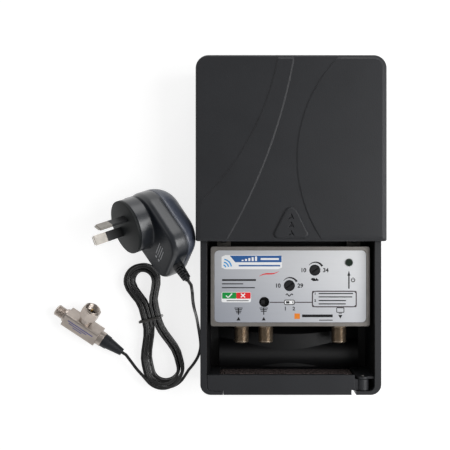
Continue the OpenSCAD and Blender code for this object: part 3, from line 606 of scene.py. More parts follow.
class KIT_OT_stage(bpy.types.Operator):
    """Sets the camera at the photo's angle, a pale floor and soft studio light"""

    bl_idname = "kit.stage"
    bl_label = "Camera, floor and light"

    def execute(self, context):
        scene = context.scene
        look = scene.kit_stage
        scene.view_settings.view_transform = "Standard"
        lens = bpy.data.cameras.new("photo_camera")
        lens.sensor_width = CAMERA_SENSOR
        lens.lens = CAMERA_LENS
        lens.shift_x, lens.shift_y = CAMERA_SHIFT
        lens.clip_start, lens.clip_end = CAMERA_CLIP
        scene.camera = bpy.data.objects.new("photo_camera", lens)
        scene.camera.location = CAMERA_AT
        scene.collection.objects.link(scene.camera)
        self.make_sky(scene, look)
        self.make_floor(scene, look)
        for name, (at, width) in LAMPS.items():
            self.make_lamp(scene, name + "_light", Vector(at), width, getattr(look, name))
        return {"FINISHED"}

    def make_lamp(self, scene, name, at, width, watts):
        """A square soft box of that width at a place, turned to what it lights."""
        lamp = bpy.data.lights.new(name, "AREA")
        lamp.shape = "SQUARE"
        lamp.size = width
        lamp.energy = watts
        box = bpy.data.objects.new(name, lamp)
        box.location = at
        box.rotation_euler = (at - LAMP_AIM).to_track_quat("Z", "Y").to_euler()
        scene.collection.objects.link(box)

    def make_sky(self, scene, look):
        """Soft light all round, white to the camera and greyer overhead."""
        scene.world = bpy.data.worlds.new("studio")
        scene.world.use_nodes = True
        sky = Nodes(scene.world.node_tree)
        where = sky.node("ShaderNodeTexCoord", output="Generated")
        overhead = sky.node("ShaderNodeSeparateXYZ", None, [where], "Z").step(*SKY_FADE)
        back = sky.tree.nodes["Background"].inputs
        sky.link(back["Color"], (1.0, 1.0, 1.0))
        sky.link(back["Strength"], look.sky + (1.0 - look.sky) * (1.0 - overhead) * sky.seen())

    def make_floor(self, scene, look):
        """A flat square with the object in its middle, lit to white for the eye and keeping its shadow."""
        side = np.linspace(-FLOOR_HALF, FLOOR_HALF, FLOOR_LINES)
        grid = np.stack(np.meshgrid(side, side, indexing="xy"), -1).reshape(-1, 2)
        mesh = bpy.data.meshes.new("floor")
        mesh.from_pydata(at_height(grid, FLOOR_Z).tolist(), [], quads(FLOOR_LINES, FLOOR_LINES).tolist())
        paper = Finish("floor_paper", Base_Color=look.floor, Roughness=0.9, Specular_IOR_Level=0.1)
        glow = paper.node("ShaderNodeEmission", None, {"Strength": paper.seen() * look.glow})
        sheen = Value(paper, paper.surface.outputs[0])
        both = paper.node("ShaderNodeAddShader", None, [sheen, glow])
        paper.link(paper.tree.nodes["Material Output"].inputs["Surface"], both)
        mesh.materials.append(paper.material)
        floor = bpy.data.objects.new("floor", mesh)
        scene.collection.objects.link(floor)


# Power lead


# Places of the pack and the injector in metres, their directions, and millimetres for the rest
PACK_AT = np.array([-89.2, 42.6, 29.21]) * MM
PACK_TILT = math.radians(35)
PACK_HEADING = math.radians(22)
PACK_RISE = math.radians(20)
PACK_TURN = math.acos(math.tan(PACK_TILT) * math.tan(PACK_RISE)) - PACK_HEADING
PACK_N = direction(PACK_HEADING + math.pi, PACK_TILT)
PACK_U = direction(-PACK_TURN, PACK_RISE)
PACK_W = np.cross(PACK_N, PACK_U)
INJ_HEADING = math.radians(-33.4)
INJ_TILT = math.radians(24)
INJ_A = direction(INJ_HEADING, 0.0)
INJ_M = direction(INJ_HEADING + math.pi / 2, INJ_TILT)
INJ_F = np.cross(INJ_A, INJ_M)
INJ_DEEP = 10.0
INJ_HIGH = 11.0
INJ_ROUND = 1.2
INJ_LEAN = (INJ_DEEP / 2 - INJ_ROUND) * math.sin(INJ_TILT) + (INJ_HIGH / 2 - INJ_ROUND) * math.cos(INJ_TILT)
INJ_Z = INJ_LEAN + INJ_ROUND
INJ_HALF = 12.75
INJ_FACE = 5.495
BOOT_TIP = np.array([-111.1, -34.7, INJ_Z])
BOOT_LONG = 18.5
INJ_AT = (BOOT_TIP - (BOOT_LONG + INJ_HALF) * INJ_A) * MM
RELIEF_END = 38.0
RELIEF_BACK = 5.5
RELIEF_EXIT = PACK_AT / MM + RELIEF_END * PACK_U - RELIEF_BACK * PACK_N
LEAD_IN = [
    [-60.7, 8.6, 40.9], [-60.6, 4.2, 39.0], [-60.6, 0.3, 34.8], [-60.6, -3.8, 28.0],
    [-60.6, -7.6, 20.0], [-60.6, -11.6, 12.4], [-60.5, -16.4, 6.0], [-60.0, -22.0, 2.4],
    [-59.3, -28.0, 1.3], [-59.3, -33.0, 1.1], [-60.9, -38.5, 1.1], [-63.8, -43.4, 1.1],
]
LEAD_OUT = [[-100.9, -45.6, 8.4], [-104.7, -41.0, 7.5]]
# The lead and its hank in millimetres, with sides, bends, climbs and both ends in turns
CORD = 2.0
IN_REACH = 2.0 * CORD
OUT_REACH = 1.6 * CORD
SPAN_POINTS = 10
HANK_POINTS = 520
HANK_PITCH = CORD + 0.7
HANK_LAYER = CORD + 0.6
HANK_FLOOR = CORD / 2 + 0.1
HANK_LIFT = 1.05
HANK_SIDE = 0.2
HANK_BEND = 0.3
HANK_NEAR = 0.002
HANK_AT = (-90.2, -16.2)
HANK_LEAN = math.radians(14)
HANK_RUN = 60.0
HANK_FOLD = 6.2
HANK_WIDE = 2.0
HANK_DRAW = 5.55
HANK_CLIMBS = (2.6, 4.6, 6.6)
HANK_START = 0.275
HANK_STOP = 8.458
WAIST_Y = 4.0
WAIST_ABOVE = (9.0, 17.0)
WAIST_BELOW = (2.0, 26.0)
LAYER_LEANS = (0.0, -1.0, 1.0, -0.5)


def hank_points(t):
    """Points of the wound lead at turn t, in millimetres.

    One turn runs down the right side, round the wider bottom fold, up the left side and round the top fold.
    The fold radius steps in and out by one pitch a turn. The level climbs by one layer at each climb, and
    each layer leans a little its own way. The waist draws the sides in about the tie and lifts them over it.
    """
    f = t - np.floor(t)
    a, b, c = HANK_CLIMBS
    out = np.select([t < a, t < b, t < c], [a - t, t - a, 2 * b - a - t], t - c)
    r = HANK_FOLD + HANK_PITCH * out
    wide = r + HANK_WIDE
    half = HANK_RUN / 2
    down = f / HANK_SIDE
    up = (f - 0.5) / HANK_SIDE
    low = -math.pi * (f - HANK_SIDE) / HANK_BEND
    high = math.pi * (1 - (f - 0.5 - HANK_SIDE) / HANK_BEND)
    parts = [f < HANK_SIDE, f < 0.5, f < 0.5 + HANK_SIDE]
    x_parts = [r + HANK_WIDE * ease(down), wide * np.cos(low), -r - HANK_WIDE * ease(1 - up)]
    y_parts = [half - down * HANK_RUN, -half + wide * np.sin(low), -half + up * HANK_RUN]
    x = np.select(parts, x_parts, r * np.cos(high))
    y = np.select(parts, y_parts, half + r * np.sin(high))
    off = y - WAIST_Y
    above = 1 - ease((off - WAIST_ABOVE[0]) / WAIST_ABOVE[1])
    below = 1 - ease((-off - WAIST_BELOW[0]) / WAIST_BELOW[1])
    waist = np.where(np.abs(y) < half, np.where(off > 0, above, below), 0.0)
    x = x + (np.sign(x) * (r - HANK_DRAW) - x) * waist
    level = sum(ease((t - climb) / HANK_SIDE + 0.5) for climb in HANK_CLIMBS)
    tip = np.radians(np.interp(level, np.arange(len(LAYER_LEANS)), LAYER_LEANS))
    x = x * np.cos(tip) - off * np.sin(tip)
    lean_x = HANK_AT[0] + x * math.cos(HANK_LEAN) - y * math.sin(HANK_LEAN)
    lean_y = HANK_AT[1] + x * math.sin(HANK_LEAN) + y * math.cos(HANK_LEAN)
    return np.stack([lean_x, lean_y, HANK_FLOOR + HANK_LAYER * level + HANK_LIFT * waist], -1)


def through(points, parts):
    """Smooth line through points: each span is a cubic whose end slopes are half the neighbours' spread."""
    p = np.asarray(points, float)
    before = np.concatenate([p[:1], p[:-2]])
    after = np.concatenate([p[2:], p[-1:]])
    b = p[:-1]
    c = p[1:]
    t = (np.arange(parts) / parts)[None, :, None]
    first = (c - before)[:, None]
    second = (2 * before - 5 * b + 4 * c - after)[:, None]
    third = (3 * b - before - 3 * c + after)[:, None]
    spans = 0.5 * (2 * b[:, None] + first * t + second * t**2 + third * t**3)
    return np.concatenate([spans.reshape(-1, 3), p[-1:]])


def lead_points():
    """The lead's middle line from the strain relief through the hank to the injector's boot, in metres."""
    turns = [HANK_START, HANK_START + HANK_NEAR, HANK_STOP - HANK_NEAR, HANK_STOP]
    ends = hank_points(np.array(turns))
    first_way = unit(ends[1] - ends[0])
    last_way = unit(ends[3] - ends[2])
    first = ends[0] - CORD * first_way
    last = ends[3] + CORD * last_way
    start = RELIEF_EXIT + IN_REACH * PACK_U
    stop = BOOT_TIP + OUT_REACH * INJ_A
    lead_in = through([start, *LEAD_IN, first - IN_REACH * first_way], SPAN_POINTS)
    lead_out = through([last + OUT_REACH * last_way, *LEAD_OUT, stop], SPAN_POINTS)
    wound = hank_points(np.linspace(HANK_START, HANK_STOP, HANK_POINTS))
    relief = [RELIEF_EXIT, RELIEF_EXIT + CORD * PACK_U]
    line = np.concatenate([relief, lead_in, [first], wound, [last], lead_out, [BOOT_TIP]])
    return line * MM


def swept(path, section, up, closed=False):
    """Rings of a flat section (x, y) carried along a path: p + x side + y lift, side = tangent x up."""
    path = np.asarray(path, float)
    if closed:
        ahead = np.roll(path, -1, 0) - np.roll(path, 1, 0)
    else:
        ahead = np.gradient(path, axis=0)
    tangent = unit(ahead)
    side = unit(np.cross(tangent, np.broadcast_to(np.asarray(up, float), tangent.shape)))
    lift = np.cross(side, tangent)
    section = np.asarray(section, float)
    return path[:, None] + section[None, :, :1] * side[:, None] + section[None, :, 1:] * lift[:, None]


# The twin lead's section: sides, flatness, groove, and the power that squares a round
TWIN_SIDES = 32
TWIN_FLAT = 0.72
GROOVE_DEEP = 0.34
GROOVE_WIDE = 0.26
SQUARED = 0.75


def twin_section(wide):
    """Outline of a twin lead: two cores side by side, an ellipse drawn in at its middle by a round groove."""
    turn = round_angles(TWIN_SIDES)
    x = np.cos(turn)
    groove = 1 - GROOVE_DEEP * np.exp(-((x / GROOVE_WIDE) ** 2))
    y = np.sign(np.sin(turn)) * np.abs(np.sin(turn)) ** SQUARED * groove * TWIN_FLAT
    return np.stack([x, y], -1) * wide / 2


# The hank's tie, in millimetres: the CAD width, insets, corner, half sizes and its grid
TIE_WIDE = 2.2
TIE_INSET = (0.45, 0.42)
TIE_CORNER = 1.4
TIE_HALF = np.array([1.05, 0.36])
TIE_PARTS = (120, 16)


class KIT_OT_lead(bpy.types.Operator):
    """Makes the power lead as one line from the strain relief to the injector, and the tie on its hank"""

    bl_idname = "kit.lead"
    bl_label = "Power lead and tie"

    def execute(self, context):
        look = context.scene.kit_pack
        line = lead_points()
        points, faces = rings(swept(line, twin_section(look.lead), (0.0, 0.0, 1.0)))
        sheath = clouded("lead_sheath", look.sheath, **SHEATH)
        lead = mesh_piece("power_lead", points, faces, sheath, "base", crease=60.0)
        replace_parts(lead, "cord_lead_in", "cord_hank", "cord_lead_out")
        tie = self.make_tie()
        return {"FINISHED"}

    def make_tie(self):
        """A flat plastic-coated tie: a rounded strip section carried once round the hank's waist."""
        low, high = np.array(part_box("hank_tie"))
        centre = (low + high) / 2
        across = np.array([math.cos(HANK_LEAN), math.sin(HANK_LEAN), 0.0])
        along = np.array([-math.sin(HANK_LEAN), math.cos(HANK_LEAN), 0.0])
        run = (high[0] - low[0] - TIE_WIDE * MM * abs(along[0])) / abs(across[0])
        wide = run / 2 - TIE_INSET[0] * MM
        tall = (high[2] - low[2]) / 2 - TIE_INSET[1] * MM
        reach = hull_ring(wide, tall, TIE_CORNER * MM, round_angles(TIE_PARTS[0]))
        path = centre + reach[:, :1] * across + reach[:, 1:] * np.array([0.0, 0.0, 1.0])
        section = turn_points(round_angles(TIE_PARTS[1])) * TIE_HALF * MM
        flat = np.sign(section) * np.abs(section) ** SQUARED * (TIE_HALF[1] * MM) ** (1 - SQUARED)
        points, faces = looped(swept(path, flat[:, ::-1], along, closed=True))
        coat = clouded("tie_coat", colour(46, 44, 42), **SHEATH)
        tie = mesh_piece("hank_tie_band", points, faces, coat, "base")
        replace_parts(tie, "hank_tie")
        return tie


# Cover


# The cover in millimetres; a sweep is the x, y and radius of a step line's circle
COVER_HALF = 58.5
COVER_LOW = 39.6
COVER_TOP = 153.6
COVER_FRONT = 43.6
COVER_BACK = 6.0
COVER_WALL = 2.2
COVER_CORNER = 8.0
COVER_MID = 96.6
COVER_FOOT = 1.0
COVER_RIM = 2.2
RIM_ROOM = 2.4
RIM_POWER = 1.5
INNER_EDGE = 0.8
PANEL_FADE = (1.3, 0.9)
RUNNER_X = (54.8, 56.5)
RUNNER_Z = (31.2, 33.7)
RUNNER_INSET = 8.0
COVER_LEVELS = (30.0, 20.0, 10.0, COVER_BACK + 0.5)
SWEEPS = ((-168.6, 84.4, 163.0), (-332.0, 115.0, 339.0), (92.3, -6.5, 88.8))


def sweep_x(sweep, y, side):
    """X of a step line at height y: centre + side times the root of r^2 - (y - centre)^2."""
    cx, cy, r = sweep
    return cx + side * np.sqrt(np.maximum(r * r - (y - COVER_MID - cy) ** 2, 0.0))


def sweep_gap(sweep, x, y):
    """Signed distance from a step line's circle, positive outside."""
    cx, cy, r = sweep
    return np.hypot(x - cx, y - COVER_MID - cy) - r


def between(low, high, count):
    """Even columns from low to high (arrays by row), without the last."""
    return low[:, None] + (high - low)[:, None] * (np.arange(count) / count)[None]


def front_grid(edge, step):
    """X and Y of the cover's front face, row by row, with columns crowded along the three step lines.

    Rows run from the bottom edge up into the top corners, where the half width follows the corner's circle.
    """
    r = COVER_CORNER - edge
    top = COVER_TOP - edge
    low = COVER_LOW + COVER_FOOT
    bend = np.sin(np.linspace(0, math.pi / 2, 26))
    y = np.concatenate([np.linspace(low, top - r, 64)[:-1], top - r + r * bend])
    rise = np.clip((y - (top - r)) / r, 0, 1)
    half = COVER_HALF - edge - r * (1 - np.sqrt(1 - rise**2))
    near = np.linspace(-step, step, 11)
    a = np.maximum(sweep_x(SWEEPS[0], y, 1), -half + 2 * step + 1.2)
    b = sweep_x(SWEEPS[1], y, 1)
    c = sweep_x(SWEEPS[2], y, -1)
    rim = np.linspace(0, 1, 9) ** RIM_POWER
    left_rim = COVER_RIM * np.minimum(1, (a + half - step) / RIM_ROOM)
    left_edge = -half[:, None] + left_rim[:, None] * rim[None, :-1]
    right_edge = half[:, None] - COVER_RIM * rim[None, ::-1]
    x = np.concatenate(
        [
            left_edge,
            between(left_rim - half, a - step, 12),
            a[:, None] + near[None, :-1],
            between(a + step, b - step, 10),
            b[:, None] + near[None, :-1],
            between(b + step, c - step, 16),
            c[:, None] + near[None, :-1],
            between(c + step, half - COVER_RIM, 16),
            right_edge,
        ],
        1,
    )
    return x, np.broadcast_to(y[:, None], x.shape), half


def panel_height(x, y, edge, step):
    """Height of the raised panels, 0 to 1: between lines one and two or inside line three, off the edge."""
    strip = ease(sweep_gap(SWEEPS[0], x, y) / step + 0.5) * ease(0.5 - sweep_gap(SWEEPS[1], x, y) / step)
    right = ease(0.5 - sweep_gap(SWEEPS[2], x, y) / step)
    r = COVER_CORNER
    qx = np.abs(x) - (COVER_HALF - r)
    qy = y - (COVER_TOP - r)
    corner = r - np.hypot(np.maximum(qx, 0), np.maximum(qy, 0)) - np.minimum(np.maximum(qx, qy), 0)
    low = y - COVER_LOW - COVER_FOOT
    return np.maximum(strip, right) * ease((corner - edge) / PANEL_FADE[0]) * ease(low / PANEL_FADE[1])


def cover_shell(edge, rise, step):
    """Points and faces of the cover: an outer and an inner sheet joined round their whole border.

    Each sheet is the front grid and, on the left, top and right, rings that carry a wall profile of (inset,
    height) along the outline. The border runs up the left end, along the bottom, down the right end and back.
    """
    x, y, half = front_grid(edge, step)
    rows, cols = x.shape
    top = COVER_TOP - edge
    r = COVER_CORNER - edge
    lift = np.clip((y[:, 0] - (top - r)) / r, 0, 1)
    side_n = np.stack([-np.sqrt(1 - lift**2), lift], -1)
    path = np.concatenate(
        [
            np.stack([x[:, 0], y[:, 0]], -1),
            np.stack([x[-1, 1:-1], y[-1, 1:-1]], -1),
            np.stack([x[::-1, -1], y[::-1, -1]], -1),
        ]
    )
    n = np.concatenate([side_n, np.tile([0.0, 1.0], (cols - 2, 1)), side_n[::-1] * [-1, 1]])
    a = np.radians(np.linspace(15, 90, 6))
    outer = [*zip(edge * (1 - np.sin(a)), COVER_FRONT - edge * (1 - np.cos(a)))]
    outer += [(0.0, z) for z in COVER_LEVELS] + [(0.2, COVER_BACK + 0.1), (0.6, COVER_BACK)]
    in_front = COVER_FRONT - COVER_WALL
    inner = [*zip(COVER_WALL + INNER_EDGE * (1 - np.sin(a)), in_front - INNER_EDGE * (1 - np.cos(a)))]
    inner += [(COVER_WALL, z) for z in COVER_LEVELS]
    inner += [(COVER_WALL - 0.2, COVER_BACK + 0.1), (1.6, COVER_BACK)]
    ring_count = len(path)

    def sheet(front_z, start, profile):
        """The front at a height, drawn in where the sheet starts inside the edge, and its wall rings."""
        upper = np.clip((y - COVER_TOP + 20) / 18.4, 0, 1)
        pull = np.stack([x / half[:, None], upper], -1) * (start - edge)
        grid = np.concatenate([np.stack([x, y], -1) - pull, front_z[..., None]], -1)
        wall = [at_height(path + n * (edge - d), z) for d, z in profile]
        return np.concatenate([grid.reshape(-1, 3), *wall])

    outside = sheet(COVER_FRONT + rise * panel_height(x, y, edge, step), edge, outer)
    inside = sheet(np.full(x.shape, in_front), COVER_WALL + INNER_EDGE, inner)
    grid_index = np.arange(rows * cols).reshape(rows, cols)
    first_ring = np.concatenate([grid_index[:, 0], grid_index[-1, 1:-1], grid_index[::-1, -1]])
    rings_after = rows * cols + np.arange(len(outer) * ring_count).reshape(-1, ring_count)
    ring_index = np.concatenate([first_ring[None], rings_after])
    corners = [ring_index[:-1, 1:], ring_index[:-1, :-1], ring_index[1:, :-1], ring_index[1:, 1:]]
    sheet_faces = np.concatenate([quads(rows, cols), np.stack(corners, -1).reshape(-1, 4)])
    bottom = grid_index[0, 1:-1]
    border = np.concatenate([ring_index[::-1, 0], bottom, ring_index[:, -1], ring_index[-1, -2:0:-1]])
    ends = len(ring_index) * 2 + cols - 2
    push = np.zeros((len(border), 3))
    push[:ends, 1] = -1.0
    count = len(outside)
    loops = [border]
    middle = []
    for k, (mix, out) in enumerate([(0.12, 0.62), (0.5, 0.98), (0.88, 0.62)]):
        middle.append(outside[border] * (1 - mix) + inside[border] * mix + push * out)
        loops.append(2 * count + k * len(border) + np.arange(len(border)))
    loops.append(border + count)
    strips = []
    for one, two in zip(loops[:-1], loops[1:]):
        strips.append(np.stack([two, np.roll(two, -1), np.roll(one, -1), one], -1))
    points = np.concatenate([outside, inside, *middle])
    faces = np.concatenate([sheet_faces, sheet_faces[:, ::-1] + count, *strips])
    return points, faces


# The grip pad: its middle, its outline's circles, its edge as (inset, height), its arrowheads
PAD_MIDDLE = (0.0, COVER_LOW + 9.0)
PAD_CIRCLES = ((0.0, COVER_LOW + 16.5, 4.0), (-8.0, COVER_LOW + 4.5, 2.2), (8.0, COVER_LOW + 4.5, 2.2))
PAD_EDGE = ((-0.7, -0.6), (-0.45, 0.25), (-0.1, 0.8), (0.25, 1.2), (0.7, 1.4))
ARROW_TOP = COVER_LOW + 15.0
ARROW_PITCH = 5.0
ARROW_SIZE = 1.2
ARROW_DEEP = 0.75


def pad_solid(sides=180):
    """The grip pad: rounded triangle, domed edge, three sunk arrowheads; rings of r(angle) times a factor."""
    angle = round_angles(sides)
    inset, height = np.array(PAD_EDGE).T
    reach = hull_reach(PAD_CIRCLES, angle, inset, PAD_MIDDLE)
    fill = np.linspace(1, 0, 44)[1:-1]
    reach = np.concatenate([reach, reach[-1:] * fill[:, None]])
    flat = reach[..., None] * turn_points(angle)[None] + np.asarray(PAD_MIDDLE)
    top = np.concatenate([height, np.full(len(fill), height[-1])])
    z = np.broadcast_to(top[:, None], flat.shape[:2]).copy()
    px = np.abs(flat[..., 0]) / ARROW_SIZE
    for k in range(3):
        py = (flat[..., 1] - (ARROW_TOP - ARROW_PITCH * k)) / ARROW_SIZE
        side = np.minimum(1.6 - py - px * 1.93, (py + 1.3) - (1.5 - px) * 0.53)
        z -= ARROW_DEEP * ease(side / 0.45 + 0.35)
    return rings(np.concatenate([flat, (z + COVER_FRONT)[..., None]], -1))


def bar(low, high):
    """A straight bar between two corners, as eight points and six faces."""
    x, y, z = [np.array([low[k], high[k]]) for k in range(3)]
    points = np.array([[x[i], y[j], z[k]] for k in (0, 1) for j in (0, 1) for i in (0, 1)])
    faces = [[0, 2, 3, 1], [4, 5, 7, 6], [0, 1, 5, 4], [2, 6, 7, 3], [0, 4, 6, 2], [1, 3, 7, 5]]
    return points, faces


class KIT_OT_cover(bpy.types.Operator):
    """Makes the sliding cover with its raised panels, grip pad and runners"""

    bl_idname = "kit.cover"
    bl_label = "Cover"

    def execute(self, context):
        look = context.scene.kit_housing
        plastic = moulded("cover_plastic", look.plastic, 0.5, look.grain, 1500.0, 0.0)
        shell = cover_shell(look.edge / MM, look.rise / MM, look.step / MM)
        runners = []
        for side in (-1, 1):
            x = sorted(side * edge for edge in RUNNER_X)
            low = (x[0], COVER_LOW + RUNNER_INSET, RUNNER_Z[0])
            runners.append(bar(low, (x[1], COVER_TOP - RUNNER_INSET, RUNNER_Z[1])))
        points, faces = join_parts([shell, *runners])
        cover = mesh_piece("cover_moulding", points * MM, faces, plastic, "cover")
        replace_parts(cover, "cover")
        points, faces = pad_solid()
        mesh_piece("cover_grip_pad", points * MM, faces, plastic, "cover")
        return {"FINISHED"}


# Housing


# The foam strips, in millimetres: inset from the CAD box, rounding, ring step, ends and waves
FOAM_INSET = 0.25
FOAM_SOFT = 1.0
FOAM_STEP = 0.55
FOAM_ENDS = (0.1, 0.35, 0.6, 0.82)
FOAM_PUSH = 0.16
FOAM_WAVES = 28


def foam_block(low, high, seed):
    """A foam strip: rounded rings along X, drawn in at both ends, every point pushed by fine waves."""
    middle = (low + high) / 2
    half = (high - low) / 2 - FOAM_INSET
    a = np.radians(np.linspace(0, 90, 6))
    end_x = -half[0] + FOAM_SOFT * (1 - np.cos(a))
    inset = FOAM_SOFT * (1 - np.sin(a))
    run = np.linspace(end_x[-1], -end_x[-1], int(half[0] * 2 / FOAM_STEP))[1:-1]
    cap = np.ones(len(FOAM_ENDS))
    x = np.concatenate([-half[0] * cap, end_x, run, -end_x[::-1], half[0] * cap])
    draw = np.concatenate([FOAM_SOFT * cap, inset, np.zeros(len(run)), inset[::-1], FOAM_SOFT * cap])
    fill = np.concatenate([FOAM_ENDS, np.ones(len(x) - 2 * len(cap)), FOAM_ENDS[::-1]])
    outer = hull_ring(half[1], half[2], FOAM_SOFT, round_angles(96))
    shrink = 1 - draw / np.hypot(half[1], half[2]) * 1.2
    ring = outer[None] * (fill * shrink)[:, None, None]
    stack = np.concatenate([np.broadcast_to(x[:, None, None], ring.shape[:2] + (1,)), ring], -1) + middle
    out = unit((stack - middle) / half * np.array([0.15, 1.0, 1.0]))
    coarse = waves(stack, FOAM_WAVES, 2.2, 5.0, seed)
    fine = waves(stack, FOAM_WAVES, 5.0, 9.0, seed + 1)
    push = np.clip(0.55 * coarse + 0.45 * fine, -1.5, 1.5)
    return rings(stack + out * (FOAM_PUSH * push)[..., None])


# Where the painted shade on the base's inner faces begins and ends, in metres
BAY_SIDE = (0.0521, 0.0524)
BAY_FOOT = (-0.0450, -0.0440)
BAY_HEAD = (0.0534, 0.0537)
BAY_BACK = (0.0004, 0.0008)


def painted_shade_inside_base(f):
    """1 where painted shade darkens the base's inner faces above the gate's shelf, 0 on its rim, its back and
    its outside.
    """
    across = 1.0 - f.part("X").math("ABSOLUTE").step(*BAY_SIDE)
    along = f.part("Y").step(*BAY_FOOT) * (1.0 - f.part("Y").step(*BAY_HEAD))
    return across * along * f.part("Z").step(*BAY_BACK)


class KIT_OT_housing(bpy.types.Operator):
    """Finishes the base, the cable gate and its pin, and makes the two foam strips"""

    bl_idname = "kit.housing"
    bl_label = "Housing and foam"

    def execute(self, context):
        look = context.scene.kit_housing
        skin = (look.plastic, 0.46, look.grain, 1500.0, 0.0005)
        dress(moulded("housing_plastic", *skin), "cable_gate")
        # The base's inner faces are darkened with painted shade
        dress(moulded("base_plastic", *skin, deep=painted_shade_inside_base), "base_housing")
        dress(plated("hinge_steel", colour(120, 118, 116), 0.35), "gate_hinge_pin")
        foam = open_foam("grey_foam", look.foam)
        for node, body, seed in (("base_foam", "base", 11), ("gate_foam", "gate", 23)):
            low, high = np.array(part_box(node)) / MM
            points, faces = foam_block(low, high, seed)
            strip = mesh_piece(node + "_strip", points * MM, faces, foam, body, crease=180.0)
            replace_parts(strip, node)
        return {"FINISHED"}


# Amplifier


# The ports, in millimetres, and rings to one turn of any thread
PORT_X = (-31.0, -15.4, 31.8)
PORT_Y = -13.8
PORT_Z = 21.0
PORT_LONG = 11.8
PORT_R = 4.74
THREAD_ROWS = 9


def hex_reach(flats, angle, corner=0.25):
    """Radius at each angle of a hexagon with that distance across its flats and slightly round corners."""
    far = (flats / 2 - corner) / math.cos(math.pi / 6)
    ring = turn_points(round_angles(6)) * far
    return hull_reach([(x, y, corner) for x, y in ring], angle, 0.0)[0]


def threaded(start, stop, radius, pitch, deep, angle, fading=True):
    """Rows of (radius, height) of a thread, radius - deep (1 - cos(turn)) / 2, that may fade at its ends."""
    h = np.linspace(start, stop, int((stop - start) / pitch * THREAD_ROWS))
    turn = h[:, None] / pitch * TAU - angle[None]
    fade = ease((h - start) / pitch) * ease((stop - h) / pitch) if fading else np.ones(len(h))
    return list(zip(radius - deep * (0.5 - 0.5 * np.cos(turn)) * fade[:, None], h))


def ring_rows(rows, angle):
    """Rings from rows of (radius, height), the radius a number or one value for each angle."""
    ring = turn_points(angle)
    return np.array([at_height(ring * np.reshape(radius, (-1, 1)), height) for radius, height in rows])


def port_solid(pitch, sides=108):
    """A threaded port along Z: hex flange, thread, end chamfer and open bore, closed on itself."""
    angle = round_angles(sides)
    flange = hex_reach(11.1, angle)
    rows = [(3.3, 0.02), (flange - 0.2, 0.02), (flange, 0.2), (flange, 1.3)]
    rows += [(flange - 0.3, 1.6), (4.45, 1.62)]
    rows += threaded(1.75, PORT_LONG - 0.75, PORT_R, pitch, 0.46, angle)
    rows += [(4.62, PORT_LONG - 0.6), (4.1, PORT_LONG - 0.06), (4.0, PORT_LONG)]
    rows += [(3.5, PORT_LONG), (3.3, PORT_LONG - 0.2)]
    return looped(ring_rows(rows, angle))


class KIT_OT_amplifier(bpy.types.Operator):
    """Finishes the amplifier's case and controls and makes its three threaded ports"""

    bl_idname = "kit.amplifier"
    bl_label = "Amplifier"

    def execute(self, context):
        look = context.scene.kit_amplifier
        case = plated("case_metal", look.case, 0.45, rounded=0.0004, metal=0.6, streak=(0.08, 1.0, 1.0))
        dress(case, "amp_case", "amp_back_plate")
        dress(plated("screw_zinc", colour(170, 170, 172), 0.32), "amp_screws")
        black = moulded("control_black", colour(22, 22, 24), 0.42, 0.00002, 2600.0, 0.0003)
        dress(black, "uhf_gain_knob", "vhf_gain_knob", "switch_body", "band_switch_slider")
        dress(light_lens("light_lens"), "power_led")
        # The label film carries painted light across and down the label
        film = label_film("label_film", look.label_lit, look.label_shaded)
        dress(film, "front_label")
        nickel = plated("port_nickel", look.nickel, 0.3, rounded=0.0, metal=0.85)
        points, faces = port_solid(look.pitch / MM)
        for x, node in zip(PORT_X, ("uhf_input_port", "vhf_input_port", "tv_output_port")):
            at = placed(points, (x, PORT_Y, PORT_Z), (1, 0, 0), (0, 0, 1), (0, -1, 0))
            port = mesh_piece(node + "_threaded", at * MM, faces, nickel, "base")
            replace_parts(port, node)
        return {"FINISHED"}


# Label prints


# Print, in millimetres: the label's face, a film's thickness, and the numbers' proportions
PRINT_Z = 31.955
PRINT_T = 0.03
ARC_POINTS = 36
FIGURE_SHARE = 0.7
FIGURE_STROKE = 0.1


def slab(outline, layer=0):
    """A flat printed shape: its outline (n by 2) as a closed prism, one film thick, lying on the label."""
    outline = np.asarray(outline, float)
    low = PRINT_Z + layer * PRINT_T
    return rings(np.array([at_height(outline, z) for z in (low, low + PRINT_T)]))


def outline_slab(outside, inside, layer=0):
    """A printed line round a shape: the prism between an outer and an inner outline of as many points."""
    low = PRINT_Z + layer * PRINT_T
    loops = ((outside, low), (outside, low + PRINT_T), (inside, low + PRINT_T), (inside, low))
    return looped(np.array([at_height(flat, z) for flat, z in loops]))


def box_line(x0, y0, x1, y1, corner=0.05, sides=72):
    """Outline of a rectangle with round corners between two corners."""
    ring = hull_ring((x1 - x0) / 2, (y1 - y0) / 2, corner, round_angles(sides))
    return ring + np.array([(x0 + x1) / 2, (y0 + y1) / 2])


def rule(x0, y0, x1, y1, thick):
    """A straight printed rule between two points."""
    a = np.array([x0, y0], float)
    b = np.array([x1, y1], float)
    way = (b - a) / np.linalg.norm(b - a)
    side = np.array([-way[1], way[0]]) * thick / 2
    return np.array([a - side, b - side, b + side, a + side])


def ribbon(line, half):
    """Outline of a line (n by 2) with a half width at each point: there on one side, back on the other."""
    line = np.asarray(line, float)
    way = unit(np.gradient(line, axis=0))
    side = np.stack([-way[:, 1], way[:, 0]], -1) * np.asarray(half, float)[:, None]
    return np.concatenate([line - side, (line + side)[::-1]])


def arc(x, y, r, start, stop):
    """Points of an arc about x, y between two angles in degrees; r is a number or one for each point."""
    ring = turn_points(np.radians(np.linspace(start, stop, ARC_POINTS)))
    return np.array([x, y]) + np.reshape(r, (-1, 1)) * ring


def level_rules(rows, layer=0):
    """Printed level rules from rows of (x0, x1, y, thickness)."""
    return [slab(rule(x0, y, x1, y, thick), layer) for x0, x1, y, thick in rows]


